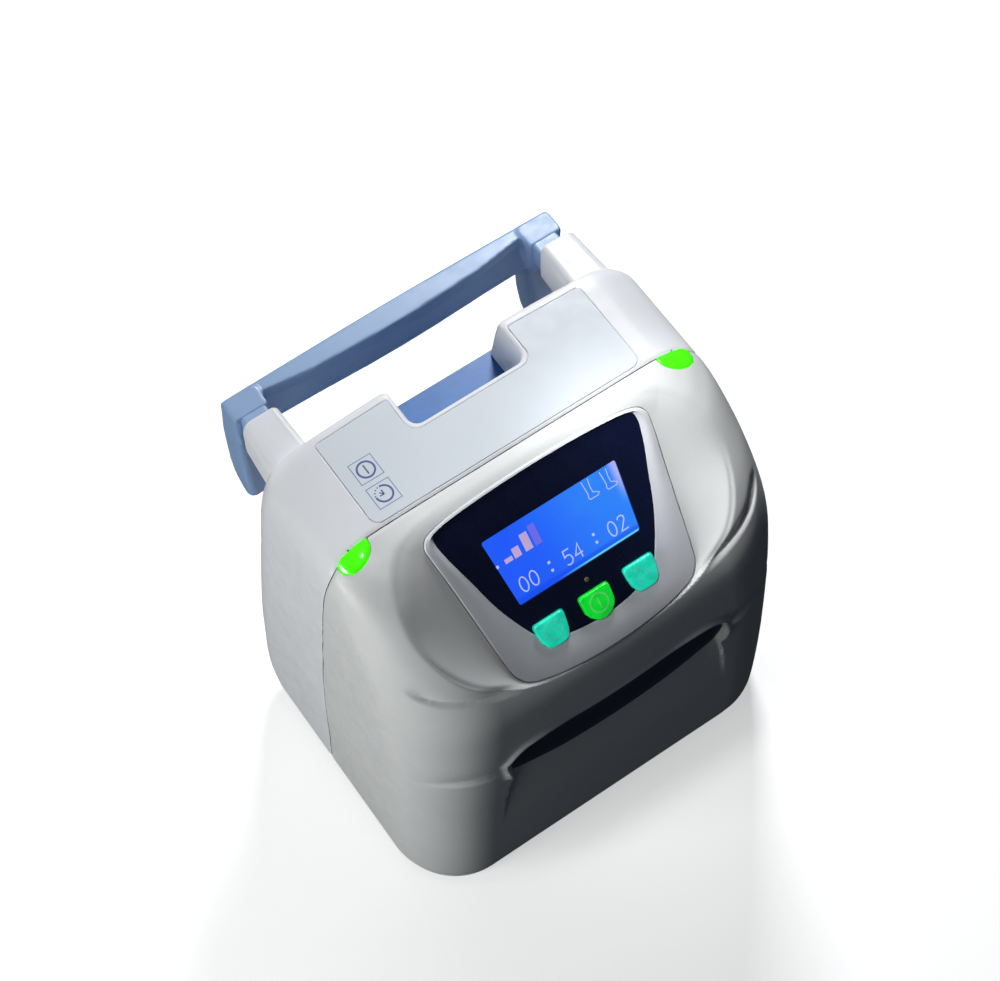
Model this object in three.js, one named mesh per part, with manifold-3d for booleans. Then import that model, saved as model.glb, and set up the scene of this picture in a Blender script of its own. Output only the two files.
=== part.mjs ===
// Compression therapy pump: a portable bedside air pump with a sloping display panel,
// three press buttons and a telescoping bed hook that doubles as its carrying handle.
// Millimetres, +Z up, front of the unit towards -Y. The unit stands on four rubber feet at z = 0.

import * as THREE from 'three';
import { mergeVertices } from 'three/addons/utils/BufferGeometryUtils.js';
import { ParametricGeometry } from 'three/addons/geometries/ParametricGeometry.js';
import Module from 'manifold-3d';

const wasm = await Module();
wasm.setup();

// ---------------------------------------------------------------- driving dimensions
const Y_CENTRE = 44.3;         // middle of the whole object's depth, moved to y = 0
const TOP_Z = 218.0;           // flat top of the casing
const SHELL_BOTTOM = 12.0;     // lower rim of both casing shells
const BASE_Z = 3.0;            // underside of the base plate
const WALL = 2.6;              // casing wall
const GAP = 0.3;               // gap left between neighbouring pieces
const PANEL_TILT = 46 * Math.PI / 180;   // lean of the display panel back from vertical
const PANEL_Y = 0.0, PANEL_Z = 198.4;    // middle of the screen
const NOTCH_HALF = 26.2, NOTCH_Y = 63.5, NOTCH_FLOOR = 186.0;
const COVER_HALF = 58.0, COVER_Z0 = 22.0;
const SLIDE_TRAVEL = 35.0;     // how far the bed hook pulls out
const BUTTON_TRAVEL = 1.2;     // how far a button goes in

// casing: half width, front, rear and corner radii against height
const W_OF_Z = [[12, 93], [60, 93.2], [100, 92.6], [150, 91.3], [185, 89.5], [200, 87.8], [208, 85.4], [212.5, 81.4], [215.3, 76.3], [217.2, 69.5], [218, 62.5]];
const F_OF_Z = [[12, -37], [40, -38], [80, -38.5], [120, -38.5], [145, -38], [158, -37], [168, -34], [178, -28.5], [187, -21.5], [195, -13.5], [203, -4.5], [209, 3.5], [213.2, 11], [216, 19], [217.4, 27], [218, 35.5]];
const B_OF_Z = [[12, 99], [24, 105], [45, 107], [77, 106], [110, 102.5], [147, 97], [180, 91.5], [200, 87], [212, 83.6], [218, 81.2]];
const RF_OF_Z = [[12, 31], [60, 31.5], [120, 33.5], [165, 36], [195, 34], [210, 28], [215, 20], [218, 10]];
const RB_OF_Z = [[12, 14], [60, 20], [150, 20], [200, 14], [212, 10], [218, 6]];
// parting line between the front and rear shells, seen from the side: y against z
const PARTING = [[-5, 47], [25, 44.4], [46, 42.8], [73, 42.3], [97, 41.3], [130, 38.6], [156, 36.5], [180, 34.9], [195, 33.4], [204, 32.1], [209, 32.0], [212, 32.8], [216, 34.3], [240, 34.4]];
// display panel outlines in panel coordinates (x, v): right half, top to bottom
const BEZEL_HALF = [[0, 32.0], [20, 31.6], [36, 30.6], [46, 29.4], [50.6, 26.6], [51.2, 21.5], [49.6, 8], [46.6, -15], [44.4, -34], [42.6, -40], [37, -44.6], [22, -48.4], [0, -49.8]];
const OVERLAY_HALF = [[0, 30.6], [20, 30.2], [36, 29.2], [44, 28.4], [46.6, 26.6], [46.2, 22], [41.5, 4], [37, -10.5], [30.8, -24], [27, -30.5], [20, -34.4], [10, -36.6], [0, -37.2]];
const DISH_HALF = [[0, 36], [30, 35], [48, 31], [60, 24.5], [68, 13], [71.2, -3], [68.5, -18], [60, -31.5], [48, -41], [30, -47], [0, -50.5]];

// ---------------------------------------------------------------- helpers
const lerpTable = (t, z) => {
  if (z <= t[0][0]) return t[0][1];
  for (let i = 1; i < t.length; i++) if (z <= t[i][0]) {
    const [a, p] = t[i - 1], [b, q] = t[i];
    const m = (j) => {
      if (j <= 0 || j >= t.length - 1) return 0.5 * ((t[Math.min(j + 1, t.length - 1)][1] - t[Math.max(j - 1, 0)][1]) / (t[Math.min(j + 1, t.length - 1)][0] - t[Math.max(j - 1, 0)][0]));
      return (t[j + 1][1] - t[j - 1][1]) / (t[j + 1][0] - t[j - 1][0]);
    };
    const h = b - a, s = (z - a) / h, m0 = m(i - 1) * h, m1 = m(i) * h;
    return (2 * s ** 3 - 3 * s ** 2 + 1) * p + (s ** 3 - 2 * s ** 2 + s) * m0 + (-2 * s ** 3 + 3 * s ** 2) * q + (s ** 3 - s ** 2) * m1;
  }
  return t[t.length - 1][1];
};

function solid(geometry) {
  const g = geometry.clone();
  g.deleteAttribute('normal'); g.deleteAttribute('uv');
  const m = mergeVertices(g, 1e-4);
  const idx = m.index.array, tri = [];
  for (let i = 0; i < idx.length; i += 3) {
    const [a, b, c] = [idx[i], idx[i + 1], idx[i + 2]];
    if (a !== b && b !== c && a !== c) tri.push(a, b, c);
  }
  return new wasm.Manifold(new wasm.Mesh({ numProp: 3, vertProperties: new Float32Array(m.attributes.position.array), triVerts: new Uint32Array(tri) }));
}
function geometryOf(man) {
  const m = man.getMesh();
  const g = new THREE.BufferGeometry();
  const n = m.vertProperties.length / m.numProp, p = new Float32Array(n * 3);
  for (let i = 0; i < n; i++) for (let k = 0; k < 3; k++) p[3 * i + k] = m.vertProperties[i * m.numProp + k];
  g.setAttribute('position', new THREE.BufferAttribute(p, 3));
  g.setIndex(new THREE.BufferAttribute(new Uint32Array(m.triVerts), 1));
  g.computeVertexNormals();
  return g;
}
const at = (g, x, y, z) => g.clone().translate(x, y, z);
const box = (x0, x1, y0, y1, z0, z1) => at(new THREE.BoxGeometry(x1 - x0, y1 - y0, z1 - z0), (x0 + x1) / 2, (y0 + y1) / 2, (z0 + z1) / 2);
const shapeOf = (pts) => new THREE.Shape(pts.map(([a, b]) => new THREE.Vector2(a, b)));
const prism = (shape, depth, curve = 8) => new THREE.ExtrudeGeometry(shape, { depth, bevelEnabled: false, steps: 1, curveSegments: curve });
// prism of a rounded box outline along z
function roundedShape(x0, x1, y0, y1, r) {
  const s = new THREE.Shape();
  s.moveTo(x0 + r, y0); s.lineTo(x1 - r, y0); s.absarc(x1 - r, y0 + r, r, -Math.PI / 2, 0);
  s.lineTo(x1, y1 - r); s.absarc(x1 - r, y1 - r, r, 0, Math.PI / 2);
  s.lineTo(x0 + r, y1); s.absarc(x0 + r, y1 - r, r, Math.PI / 2, Math.PI);
  s.lineTo(x0, y0 + r); s.absarc(x0 + r, y0 + r, r, Math.PI, 1.5 * Math.PI);
  return s;
}
const rbox = (x0, x1, y0, y1, z0, z1, r = 1.5, seg = 3) => at(prism(roundedShape(x0, x1, y0, y1, r), z1 - z0, seg), 0, 0, z0);
// extrude a (y, z) outline along x
const alongX = (pts, x0, x1) => {
  const g = prism(shapeOf(pts), x1 - x0);
  g.applyMatrix4(new THREE.Matrix4().set(0, 0, 1, x0, 1, 0, 0, 0, 0, 1, 0, 0, 0, 0, 0, 1));
  return g;
};
const cylZ = (r, x, y, z0, z1, n = 16, r2 = r) => { const g = new THREE.CylinderGeometry(r2, r, z1 - z0, n); g.rotateX(Math.PI / 2); return at(g, x, y, (z0 + z1) / 2); };
const cylY = (r, x, z, y0, y1, n = 16, r2 = r) => { const g = new THREE.CylinderGeometry(r2, r, y1 - y0, n); return at(g, x, (y0 + y1) / 2, z); };
const cylX = (r, y, z, x0, x1, n = 16) => { const g = new THREE.CylinderGeometry(r, r, x1 - x0, n); g.rotateZ(Math.PI / 2); return at(g, (x0 + x1) / 2, y, z); };
// turned part about an upright axis from an (r, z) profile
const turned = (profile, n = 16) => { const g = new THREE.LatheGeometry(profile.map(([r, z]) => new THREE.Vector2(r, z)), n); g.rotateX(Math.PI / 2); return g; };
// bent round tube through points
const tube = (pts, r, steps = 16, n = 8) => {
  const path = new THREE.CatmullRomCurve3(pts.map((p) => new THREE.Vector3(...p)));
  const s = new THREE.Shape(); s.absarc(0, 0, r, 0, 2 * Math.PI);
  return new THREE.ExtrudeGeometry(s, { steps, curveSegments: n, bevelEnabled: false, extrudePath: path });
};

// ---------------------------------------------------------------- casing surface
// point of the casing at height z; u runs once round the section, d is an inset
const EDGE = [['front', 6], ['fr', 6], ['right', 4], ['rr', 4], ['rear', 4], ['rl', 4], ['left', 4], ['fl', 6]];
function ring(z, d) {
  const w = lerpTable(W_OF_Z, z) - d, f = lerpTable(F_OF_Z, z) + d, b = lerpTable(B_OF_Z, z) - d;
  const rf = Math.max(lerpTable(RF_OF_Z, z) - d, 3), rb = Math.max(lerpTable(RB_OF_Z, z) - d, 3);
  const pts = [];
  const line = (x0, y0, x1, y1, n) => { for (let i = 0; i < n; i++) pts.push([x0 + (x1 - x0) * i / n, y0 + (y1 - y0) * i / n]); };
  const arc = (cx, cy, r, a0, n) => { for (let i = 0; i < n; i++) { const a = a0 + Math.PI / 2 * i / n; pts.push([cx + r * Math.cos(a), cy + r * Math.sin(a)]); } };
  line(-w + rf, f, w - rf, f, EDGE[0][1]);
  arc(w - rf, f + rf, rf, -Math.PI / 2, EDGE[1][1]);
  line(w, f + rf, w, b - rb, EDGE[2][1]);
  arc(w - rb, b - rb, rb, 0, EDGE[3][1]);
  line(w - rb, b, -w + rb, b, EDGE[4][1]);
  arc(-w + rb, b - rb, rb, Math.PI / 2, EDGE[5][1]);
  line(-w, b - rb, -w, f + rf, EDGE[6][1]);
  arc(-w + rf, f + rf, rf, Math.PI, EDGE[7][1]);
  return pts;
}
const RING_N = EDGE.reduce((s, e) => s + e[1], 0);
const LEVELS = [12, 30, 60, 95, 125, 145, 158, 168, 178, 187, 195, 203, 208, 212, 215, 216.8, 218];
function casing(d, levels, zTop, zBottom) {
  const rows = levels.map((z) => ({ z, pts: ring(z, d) }));
  rows[0].z = zBottom; rows[rows.length - 1].z = zTop;
  const n = rows.length + 1;             // slices: bottom point, rings, top point
  const g = new ParametricGeometry((u, v, target) => {
    const j = Math.round(v * n), i = Math.round(u * RING_N) % RING_N;
    if (j === 0) return target.set(0, 30, rows[0].z);
    if (j === n) return target.set(0, 58, rows[rows.length - 1].z);
    const r = rows[j - 1];
    target.set(r.pts[i][0], r.pts[i][1], r.z);
  }, RING_N, n);
  return g;
}
const outward = (g) => { const m = solid(g); return m.volume() > 0 ? m : (() => { const h = g.clone(); const ix = h.index.array; for (let i = 0; i < ix.length; i += 3) { const t = ix[i]; ix[i] = ix[i + 1]; ix[i + 1] = t; } return solid(h); })(); };
const outer = outward(casing(0, LEVELS, TOP_Z, SHELL_BOTTOM));
const inflated = outward(casing(-0.35, LEVELS, TOP_Z + 0.35, SHELL_BOTTOM - 5));
const INNER_LEVELS = [12, 45, 95, 140, 168, 187, 203, 210, 214];
const cavity = outward(casing(WALL, INNER_LEVELS, TOP_Z - WALL, SHELL_BOTTOM - 3));

// ---------------------------------------------------------------- display panel frame
const panelMatrix = new THREE.Matrix4().makeBasis(
  new THREE.Vector3(1, 0, 0),
  new THREE.Vector3(0, Math.sin(PANEL_TILT), Math.cos(PANEL_TILT)),
  new THREE.Vector3(0, -Math.cos(PANEL_TILT), Math.sin(PANEL_TILT)),
).setPosition(0, PANEL_Y, PANEL_Z);
const onPanel = (g, w) => g.clone().translate(0, 0, w).applyMatrix4(panelMatrix);
const grown = (half, d) => half.map(([x, v], i) => {
  const a = half[Math.max(i - 1, 0)], b = half[Math.min(i + 1, half.length - 1)];
  let tx = b[0] - a[0], tv = b[1] - a[1];
  if (i === 0 || i === half.length - 1) tv = 0;
  const l = Math.hypot(tx, tv) || 1;
  return [x - tv / l * d, v + tx / l * d];
});
const fullOutline = (half, d = 0) => {
  const r = grown(half, d).map(([x, v]) => [Math.max(x, 0), v]);
  r[0][0] = 0; r[r.length - 1][0] = 0;
  const left = r.slice(1, -1).reverse().map(([x, v]) => [-x, v]);
  return [...r, ...left].reverse();
};
// tapered block between two panel outlines with the same number of points
function panelLoft(a, wa, b, wb) {
  const n = a.length;
  const g = new ParametricGeometry((u, v, target) => {
    const j = Math.round(v * 3), i = Math.round(u * n) % n;
    if (j === 0) target.set(0, -8, wa);
    else if (j === 1) target.set(a[i][0], a[i][1], wa);
    else if (j === 2) target.set(b[i][0], b[i][1], wb);
    else target.set(0, -8, wb);
  }, n, 3);
  g.applyMatrix4(panelMatrix);
  return outward(g);
}
const BEZEL_W0 = -2.6, BEZEL_W1 = 0.4;           // bezel plate from back to face
const bezelSeat = outward(onPanel(prism(shapeOf(fullOutline(BEZEL_HALF, 0.3)), 40), BEZEL_W0 - GAP));
// the bowl round the bezel: from the bezel edge out to the oval rim
const dishInner = [[0, 33.4], [30, 32.6], [47, 31], [53.4, 27], [53, 14], [51.2, 0], [48.5, -16], [46.2, -33], [43, -42], [26, -48.8], [0, -50.6]];
const dishOuter = DISH_HALF.map(([x, v]) => {
  const k = Math.min(1, Math.max(0, (x - 30) / 41));
  return [x + 9 * k, v > 0 ? v + 3 : v - 1.5];
});
const dish = panelLoft(fullOutline(dishInner), -0.6, fullOutline(dishOuter), 12);
const panelBack = outward(onPanel(rbox(-120, 120, -160, 120, 0, 80, 2, 2), -7.0));

// ---------------------------------------------------------------- shells
const partingPts = [];
for (let z = -5; z <= 240; z += (z > 198 && z < 220 ? 3 : 15)) partingPts.push([lerpTable(PARTING, z), z]);
const frontHalf = outward(alongX([[-90, -5], ...partingPts.map(([y, z]) => [y - GAP / 2, z]), [-90, partingPts[partingPts.length - 1][1]]], -120, 120));
const rearHalf = outward(alongX([...partingPts.map(([y, z]) => [y + GAP / 2, z]), [190, partingPts[partingPts.length - 1][1]], [190, -5]], -120, 120));

// lamp lenses at the two upper front corners, teardrop seen from above
const LENS = [[67.4, 34.2], [68.2, 30.6], [70.2, 27.6], [73.6, 25.8], [77.6, 25.6], [80.4, 27.2], [81.9, 29.8], [82.1, 34.2]];
const lensShape = (side, d) => {
  const c = [75.2, 30.2];
  const p = LENS.map(([x, y]) => { const l = Math.hypot(x - c[0], y - c[1]); return [side * (x + (x - c[0]) / l * d), y + (y - c[1]) / l * d * (y > 32.9 && d > 0 ? 3 : 1)]; });
  return shapeOf(side > 0 ? p.reverse() : p);
};
const lensPrism = (side, d, z0) => outward(at(prism(lensShape(side, d), 40), 0, 0, z0));

// inlay groove across the lower front
const INLAY = [[-50.4, 103.0], [-51.2, 111.5], [-46.5, 118.6], [-38, 121.4], [-26, 119.0], [-8, 115.6], [8, 115.0], [26, 117.0], [38, 120.6], [46.5, 118.6], [51.2, 111.5], [50.4, 103.0], [27, 93.6], [0, 90.6], [-27, 93.6]];
const inlayBlock = (d, y0, y1) => {
  const c = [0, 106];
  const p = INLAY.map(([x, z]) => { const l = Math.hypot(x - c[0], z - c[1]); return [x + (x - c[0]) / l * d, z + (z - c[1]) / l * d]; });
  const g = prism(shapeOf(p), y1 - y0);
  g.applyMatrix4(new THREE.Matrix4().set(1, 0, 0, 0, 0, 0, -1, y1, 0, 1, 0, 0, 0, 0, 0, 1));
  return outward(g);
};

// screen, lamp and button openings through the front shell
const lampHole = outward(onPanel(at(new THREE.CylinderGeometry(1.3, 1.3, 20, 12).rotateX(Math.PI / 2), 0, -20.6, 0), 0));
const screenHole = outward(onPanel(prism(roundedShape(-34, 34, -19, 19, 2), 20, 3), -14));
const buttonsHole = outward(onPanel(prism(roundedShape(-31, 31, -38, -22, 3), 20, 3), -14));

let front = outer.subtract(cavity.subtract(panelBack)).intersect(frontHalf);
front = front.subtract(dish).subtract(bezelSeat).subtract(screenHole).subtract(buttonsHole).subtract(lampHole);
front = front.subtract(inlayBlock(0.3, -60, -36.5)).subtract(lensPrism(1, 0.3, 190)).subtract(lensPrism(-1, 0.3, 190));

// rear shell with its notch pocket and the opening for the rear cover
const pocketBlock = outward(box(-NOTCH_HALF - 2.8, NOTCH_HALF + 2.8, NOTCH_Y - 2.8, 130, 160, 230));
const notch = outward(rbox(-NOTCH_HALF, NOTCH_HALF, NOTCH_Y, 140, NOTCH_FLOOR + GAP, 240, 3, 3));
const coverHole = outward(box(-COVER_HALF - GAP, COVER_HALF + GAP, 80, 130, COVER_Z0 - GAP, NOTCH_FLOOR + GAP));
const ledgeHole = outward(box(-NOTCH_HALF - 3.2, NOTCH_HALF + 3.2, NOTCH_Y - 3.2, 130, 150, NOTCH_FLOOR + GAP));
const STEM_FRONT = 42, STEM_X0 = 65.6, STEM_X1 = 74.6, STEM_Z0 = 191.5, STEM_Z1 = 200.5;
const stemHole = (s, d) => outward(rbox(Math.min(s * STEM_X0, s * STEM_X1) - d, Math.max(s * STEM_X0, s * STEM_X1) + d, 50, 140, STEM_Z0 - d, STEM_Z1 + d, 2, 2));
let rear = outer.subtract(cavity.subtract(pocketBlock)).intersect(rearHalf);
rear = rear.subtract(notch).subtract(coverHole).subtract(ledgeHole).subtract(stemHole(1, 0.6)).subtract(stemHole(-1, 0.6));
rear = rear.subtract(lensPrism(1, 0.3, 190)).subtract(lensPrism(-1, 0.3, 190));

const lens = (s) => outer.subtract(outward(casing(5, [12, 95, 168, 203, 212], TOP_Z - 5, 5))).intersect(lensPrism(s, 0, 204)).intersect(frontHalf);

// rear cover: follows the casing's rear face, with a ledge under the notch
const coverBlock = outward(box(-COVER_HALF, COVER_HALF, 80.3, 130, COVER_Z0, NOTCH_FLOOR));
let cover = outer.subtract(cavity).intersect(coverBlock)
  .add(outward(box(-NOTCH_HALF - 2.9, NOTCH_HALF + 2.9, NOTCH_Y - 2.9, 88, NOTCH_FLOOR - 3, NOTCH_FLOOR)));
const PORT_Z = 62, PORT_X = 24, INLET_Z = 62, INLET_X = -34;
cover = cover.subtract(outward(cylY(7.3, PORT_X - 11, PORT_Z, 90, 130, 20))).subtract(outward(cylY(7.3, PORT_X + 11, PORT_Z, 90, 130, 20)));
cover = cover.subtract(outward(box(INLET_X - 14.3, INLET_X + 14.3, 90, 130, INLET_Z - 12.3, INLET_Z + 12.3)));
for (let i = 0; i < 5; i++) cover = cover.subtract(outward(box(-44, 44, 80, 130, 138 + i * 7, 141 + i * 7)));

// arms: sleeves that carry the bed hook's stems
function armLoft(s, d) {
  // sections along y: [y, x0, x1, z0, z1, r]
  const S = [[70, 60.4, 81.4, 184.5, 212.2, 3], [84, 61.6, 80.6, 185.5, 211.6, 3], [95, 62.0, 79.8, 187, 211.4, 3], [106.4, 62.3, 79.0, 188.6, 211.2, 3]];
  const sec = S.map(([y, x0, x1, z0, z1, r]) => ({ y, pts: (() => {
    const q = []; const R = Math.max(r - d, 0.6);
    const arc = (cx, cz, a0) => { for (let i = 0; i < 4; i++) { const a = a0 + Math.PI / 2 * i / 3; q.push([cx + R * Math.cos(a), cz + R * Math.sin(a)]); } };
    arc(x1 - d - R, z1 - d - R, 0); arc(x0 + d + R, z1 - d - R, Math.PI / 2); arc(x0 + d + R, z0 + d + R, Math.PI); arc(x1 - d - R, z0 + d + R, 1.5 * Math.PI);
    return q;
  })() }));
  const n = 16, rows = sec.length + 1;
  return outward(new ParametricGeometry((u, v, t) => {
    const j = Math.round(v * rows), i = Math.round(u * n) % n;
    if (j === 0) return t.set(s * 70, sec[0].y, 198);
    if (j === rows) return t.set(s * 70, sec[sec.length - 1].y, 198);
    const r = sec[j - 1]; t.set(s * r.pts[i][0], r.y, r.pts[i][1]);
  }, n, rows));
}
const arm = (s) => armLoft(s, 0).subtract(inflated).subtract(stemHole(s, 0.6));

// ---------------------------------------------------------------- bed hook
const HOOK_TOP = 202, HOOK_BOTTOM = 185;
const barTop = [[-78.4, 113.2], [-76.6, 112.2], [-63, 112.0], [-60.6, 117.6], [-40, 115.4], [-18, 114.5], [0, 114.3], [18, 114.5], [40, 115.4], [60.6, 117.6], [63, 112.0], [76.6, 112.2], [78.4, 113.2], [78.6, 122], [77.0, 124.4], [0, 125.4], [-77.0, 124.4], [-78.6, 122]];
const legSide = [[112.2, 203.2], [112.2, 150], [113.6, 138], [116.4, 132.4], [120.2, 131.6], [123.8, 134.6], [126.3, 141], [127.3, 155], [126.6, 180], [124.8, 200], [122.4, 203.6]];
let hook = outward(at(prism(shapeOf(barTop), HOOK_TOP - HOOK_BOTTOM), 0, 0, HOOK_BOTTOM));
for (const s of [1, -1]) hook = hook.add(outward(alongX(legSide, s > 0 ? 62.4 : -78.8, s > 0 ? 78.8 : -62.4)));
for (const s of [1, -1]) {
  // taper of the legs' inner and outer faces towards the tips
  const t = [[s * 79.0, 175], [s * 77.0, 128], [s * 90, 128], [s * 90, 175]], q = [[s * 62.2, 178], [s * 66.4, 128], [s * 50, 128], [s * 50, 178]];
  for (const p of [t, q]) {
    const g = prism(shapeOf(THREE.ShapeUtils.isClockWise(p.map(([a, b]) => new THREE.Vector2(a, b))) ? p.slice().reverse() : p), 60);
    g.applyMatrix4(new THREE.Matrix4().set(1, 0, 0, 0, 0, 0, -1, 150, 0, 1, 0, 0, 0, 0, 0, 1));
    hook = hook.subtract(outward(g));
  }
}
for (const s of [1, -1]) hook = hook.subtract(outward(rbox(Math.min(s * (STEM_X0 - GAP), s * (STEM_X1 + GAP)), Math.max(s * (STEM_X0 - GAP), s * (STEM_X1 + GAP)), 100, 120.3, STEM_Z0 - GAP, STEM_Z1 + GAP, 2, 2)));
const stem = (s) => {
  let m = outward(rbox(Math.min(s * STEM_X0, s * STEM_X1), Math.max(s * STEM_X0, s * STEM_X1), STEM_FRONT, 120, STEM_Z0, STEM_Z1, 1.2, 2));
  return m.subtract(outward(cylX(2.0, STEM_FRONT + 4.5, 196, s * 70 - 12, s * 70 + 12, 12)));
};
const stemPin = (s) => outward(cylX(1.7, STEM_FRONT + 4.5, 196, s * 70.1 - 7.5, s * 70.1 + 7.5, 12));
const collar = (s) => {
  // stepped neck round the stem where it leaves the arm
  const o = outward(rbox(s > 0 ? 63.8 : -76.4, s > 0 ? 76.4 : -63.8, 108.2, 111.8, 190.2, 209.6, 1.2, 2));
  return o.subtract(outward(rbox(Math.min(s * (STEM_X0 - GAP), s * (STEM_X1 + GAP)), Math.max(s * (STEM_X0 - GAP), s * (STEM_X1 + GAP)), 90, 130, STEM_Z0 - GAP, STEM_Z1 + GAP, 1.2, 2)));
};

// ---------------------------------------------------------------- display group
const bezelPlate = outward(onPanel(prism(shapeOf(fullOutline(BEZEL_HALF)), BEZEL_W1 - BEZEL_W0), BEZEL_W0));
const overlayOutline = fullOutline(OVERLAY_HALF);
const overlaySeat = outward(onPanel(prism(shapeOf(fullOutline(OVERLAY_HALF, 0.3)), 10), -1.2));
const keyShape = (cx, cv, d, mid) => {
  const s = new THREE.Shape();
  const w = 6.9 + d, t = 5.6 + d, b = -6.2 - d;
  if (mid) {
    s.moveTo(cx - w, cv + t - 0.8); s.lineTo(cx - w + 0.8, cv + t); s.lineTo(cx + w - 0.8, cv + t); s.lineTo(cx + w, cv + t - 0.8);
    s.lineTo(cx + w - 0.3, cv - 1.6); s.bezierCurveTo(cx + w - 1.2, cv - 5.0, cx + 2.6, cv + b - 0.4, cx, cv + b - 0.6);
    s.bezierCurveTo(cx - 2.6, cv + b - 0.4, cx - w + 1.2, cv - 5.0, cx - w + 0.3, cv - 1.6);
  } else {
    s.moveTo(cx - w, cv + t - 0.8); s.lineTo(cx - w + 0.8, cv + t); s.lineTo(cx + w - 0.8, cv + t); s.lineTo(cx + w, cv + t - 0.8);
    s.lineTo(cx + w - 0.9, cv - 2.6); s.bezierCurveTo(cx + w - 1.6, cv - 4.8, cx + 4.0, cv + b, cx + 2.6, cv + b);
    s.lineTo(cx - 2.6, cv + b); s.bezierCurveTo(cx - 4.0, cv + b, cx - w + 1.6, cv - 4.8, cx - w + 0.9, cv - 2.6);
  }
  return s;
};
const KEYS = [['left', -21.2, -30.6, false], ['centre', 0, -31.0, true], ['right', 21.2, -30.6, false]];
const keyPrism = (k, d, w0, w1) => outward(onPanel(prism(keyShape(k[1], k[2], d, k[3]), w1 - w0, 4), w0));
let bezel = bezelPlate.subtract(overlaySeat).subtract(screenHole);
let overlay = outward(onPanel(prism(shapeOf(overlayOutline), 0.8), -0.9));
const windowShape = new THREE.Shape([[-31.2, 15.2], [-28.2, -15.1], [28.2, -15.1], [31.2, 15.2]].map(([a, b]) => new THREE.Vector2(a, b)));
overlay = overlay.subtract(outward(onPanel(prism(windowShape, 10), -5)));
for (const k of KEYS) { const c = keyPrism(k, 0.35, -20, 10); bezel = bezel.subtract(c); overlay = overlay.subtract(c); }
bezel = bezel.subtract(lampHole); overlay = overlay.subtract(lampHole);
const statusLamp = outward(onPanel(at(new THREE.CylinderGeometry(1.0, 1.0, 5.0, 12).rotateX(Math.PI / 2), 0, -20.6, -2.6), 0));
const key = (k) => keyPrism(k, 0, -2.4, 1.6).add(outward(onPanel(prism(keyShape(k[1], k[2], -1.6, k[3]), 3.4, 4), -5.6)));
const lcd = outward(onPanel(prism(roundedShape(-33, 33, -17.6, 18, 1), 5.2, 2), -6.6));
const displayBoard = outward(onPanel(prism(roundedShape(-46, 46, -38, 24, 2), 1.6, 2), -13.4))
  .subtract(outward(onPanel(at(new THREE.CylinderGeometry(1.6, 1.6, 20, 12).rotateX(Math.PI / 2), 41, 19, 0), -12)))
  .subtract(outward(onPanel(at(new THREE.CylinderGeometry(1.6, 1.6, 20, 12).rotateX(Math.PI / 2), -41, 19, 0), -12)));
const keyPad = outward(onPanel(prism(roundedShape(-29.6, 29.6, -37.2, -24, 2), 2.2, 2), -11.4));

// ---------------------------------------------------------------- label plate on the top
const LABEL = (() => {
  const s = new THREE.Shape();
  const r = 4, n = NOTCH_HALF + 1.4, yn = NOTCH_Y - 1.4;
  s.moveTo(-62 + r, 36.2); s.lineTo(62 - r, 36.2); s.absarc(62 - r, 36.2 + r, r, -Math.PI / 2, 0);
  s.lineTo(62, 79.6); s.lineTo(n, 79.6); s.lineTo(n, yn + 2); s.absarc(n - 2, yn + 2, 2, 0, -Math.PI / 2, true);
  s.lineTo(-n + 2, yn); s.absarc(-n + 2, yn + 2, 2, -Math.PI / 2, Math.PI, true); s.lineTo(-n, 79.6); s.lineTo(-62, 79.6);
  s.lineTo(-62, 36.2 + r); s.absarc(-62 + r, 36.2 + r, r, Math.PI, 1.5 * Math.PI);
  return s;
})();
const labelPlate = outward(at(prism(LABEL, 0.6, 4), 0, 0, TOP_Z + 0.3));

// ---------------------------------------------------------------- base
const baseOutline = (d) => shapeOf(ring(SHELL_BOTTOM, d));
let base = outward(at(prism(baseOutline(2.9), SHELL_BOTTOM - GAP - BASE_Z), 0, 0, BASE_Z));
base = base.subtract(outward(at(prism(baseOutline(6.2), 20), 0, 0, BASE_Z + 3)));
const SCREWS = [[-76, -16], [76, -16], [-76, 84], [76, 84]];
for (const [x, y] of SCREWS) {
  base = base.add(outward(cylZ(6, x, y, BASE_Z, SHELL_BOTTOM - GAP, 14)));
  base = base.subtract(outward(cylZ(1.8, x, y, 0, 30, 12))).subtract(outward(cylZ(3.6, x, y, 0, BASE_Z + 3.4, 14)));
}
const FEET = [[-68, 4], [68, 4], [-68, 70], [68, 70]];
const foot = ([x, y]) => outward(at(turned([[0, 0], [7.2, 0], [8, 0.8], [8, BASE_Z - GAP], [0, BASE_Z - GAP]], 20), x, y, 0));
const screw = ([x, y]) => outward(at(turned([[0, BASE_Z + 0.6], [3.1, BASE_Z + 0.6], [3.1, BASE_Z + 3.0], [1.4, BASE_Z + 3.2], [1.4, 17], [0, 17]], 14), x, y, 0));
// screw posts belonging to the shells come down on the base bosses
for (const [x, y] of SCREWS) {
  const post = outward(cylZ(5.2, x, y, SHELL_BOTTOM, 52, 12)).add(outward(box(x > 0 ? x : -91.4, x > 0 ? 91.4 : x, y - 1.2, y + 1.2, SHELL_BOTTOM, 50)))
    .subtract(outward(cylZ(1.7, x, y, 0, 30, 12)));
  if (y < 50) front = front.add(post.intersect(outer)); else rear = rear.add(post.intersect(outer));
}

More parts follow.
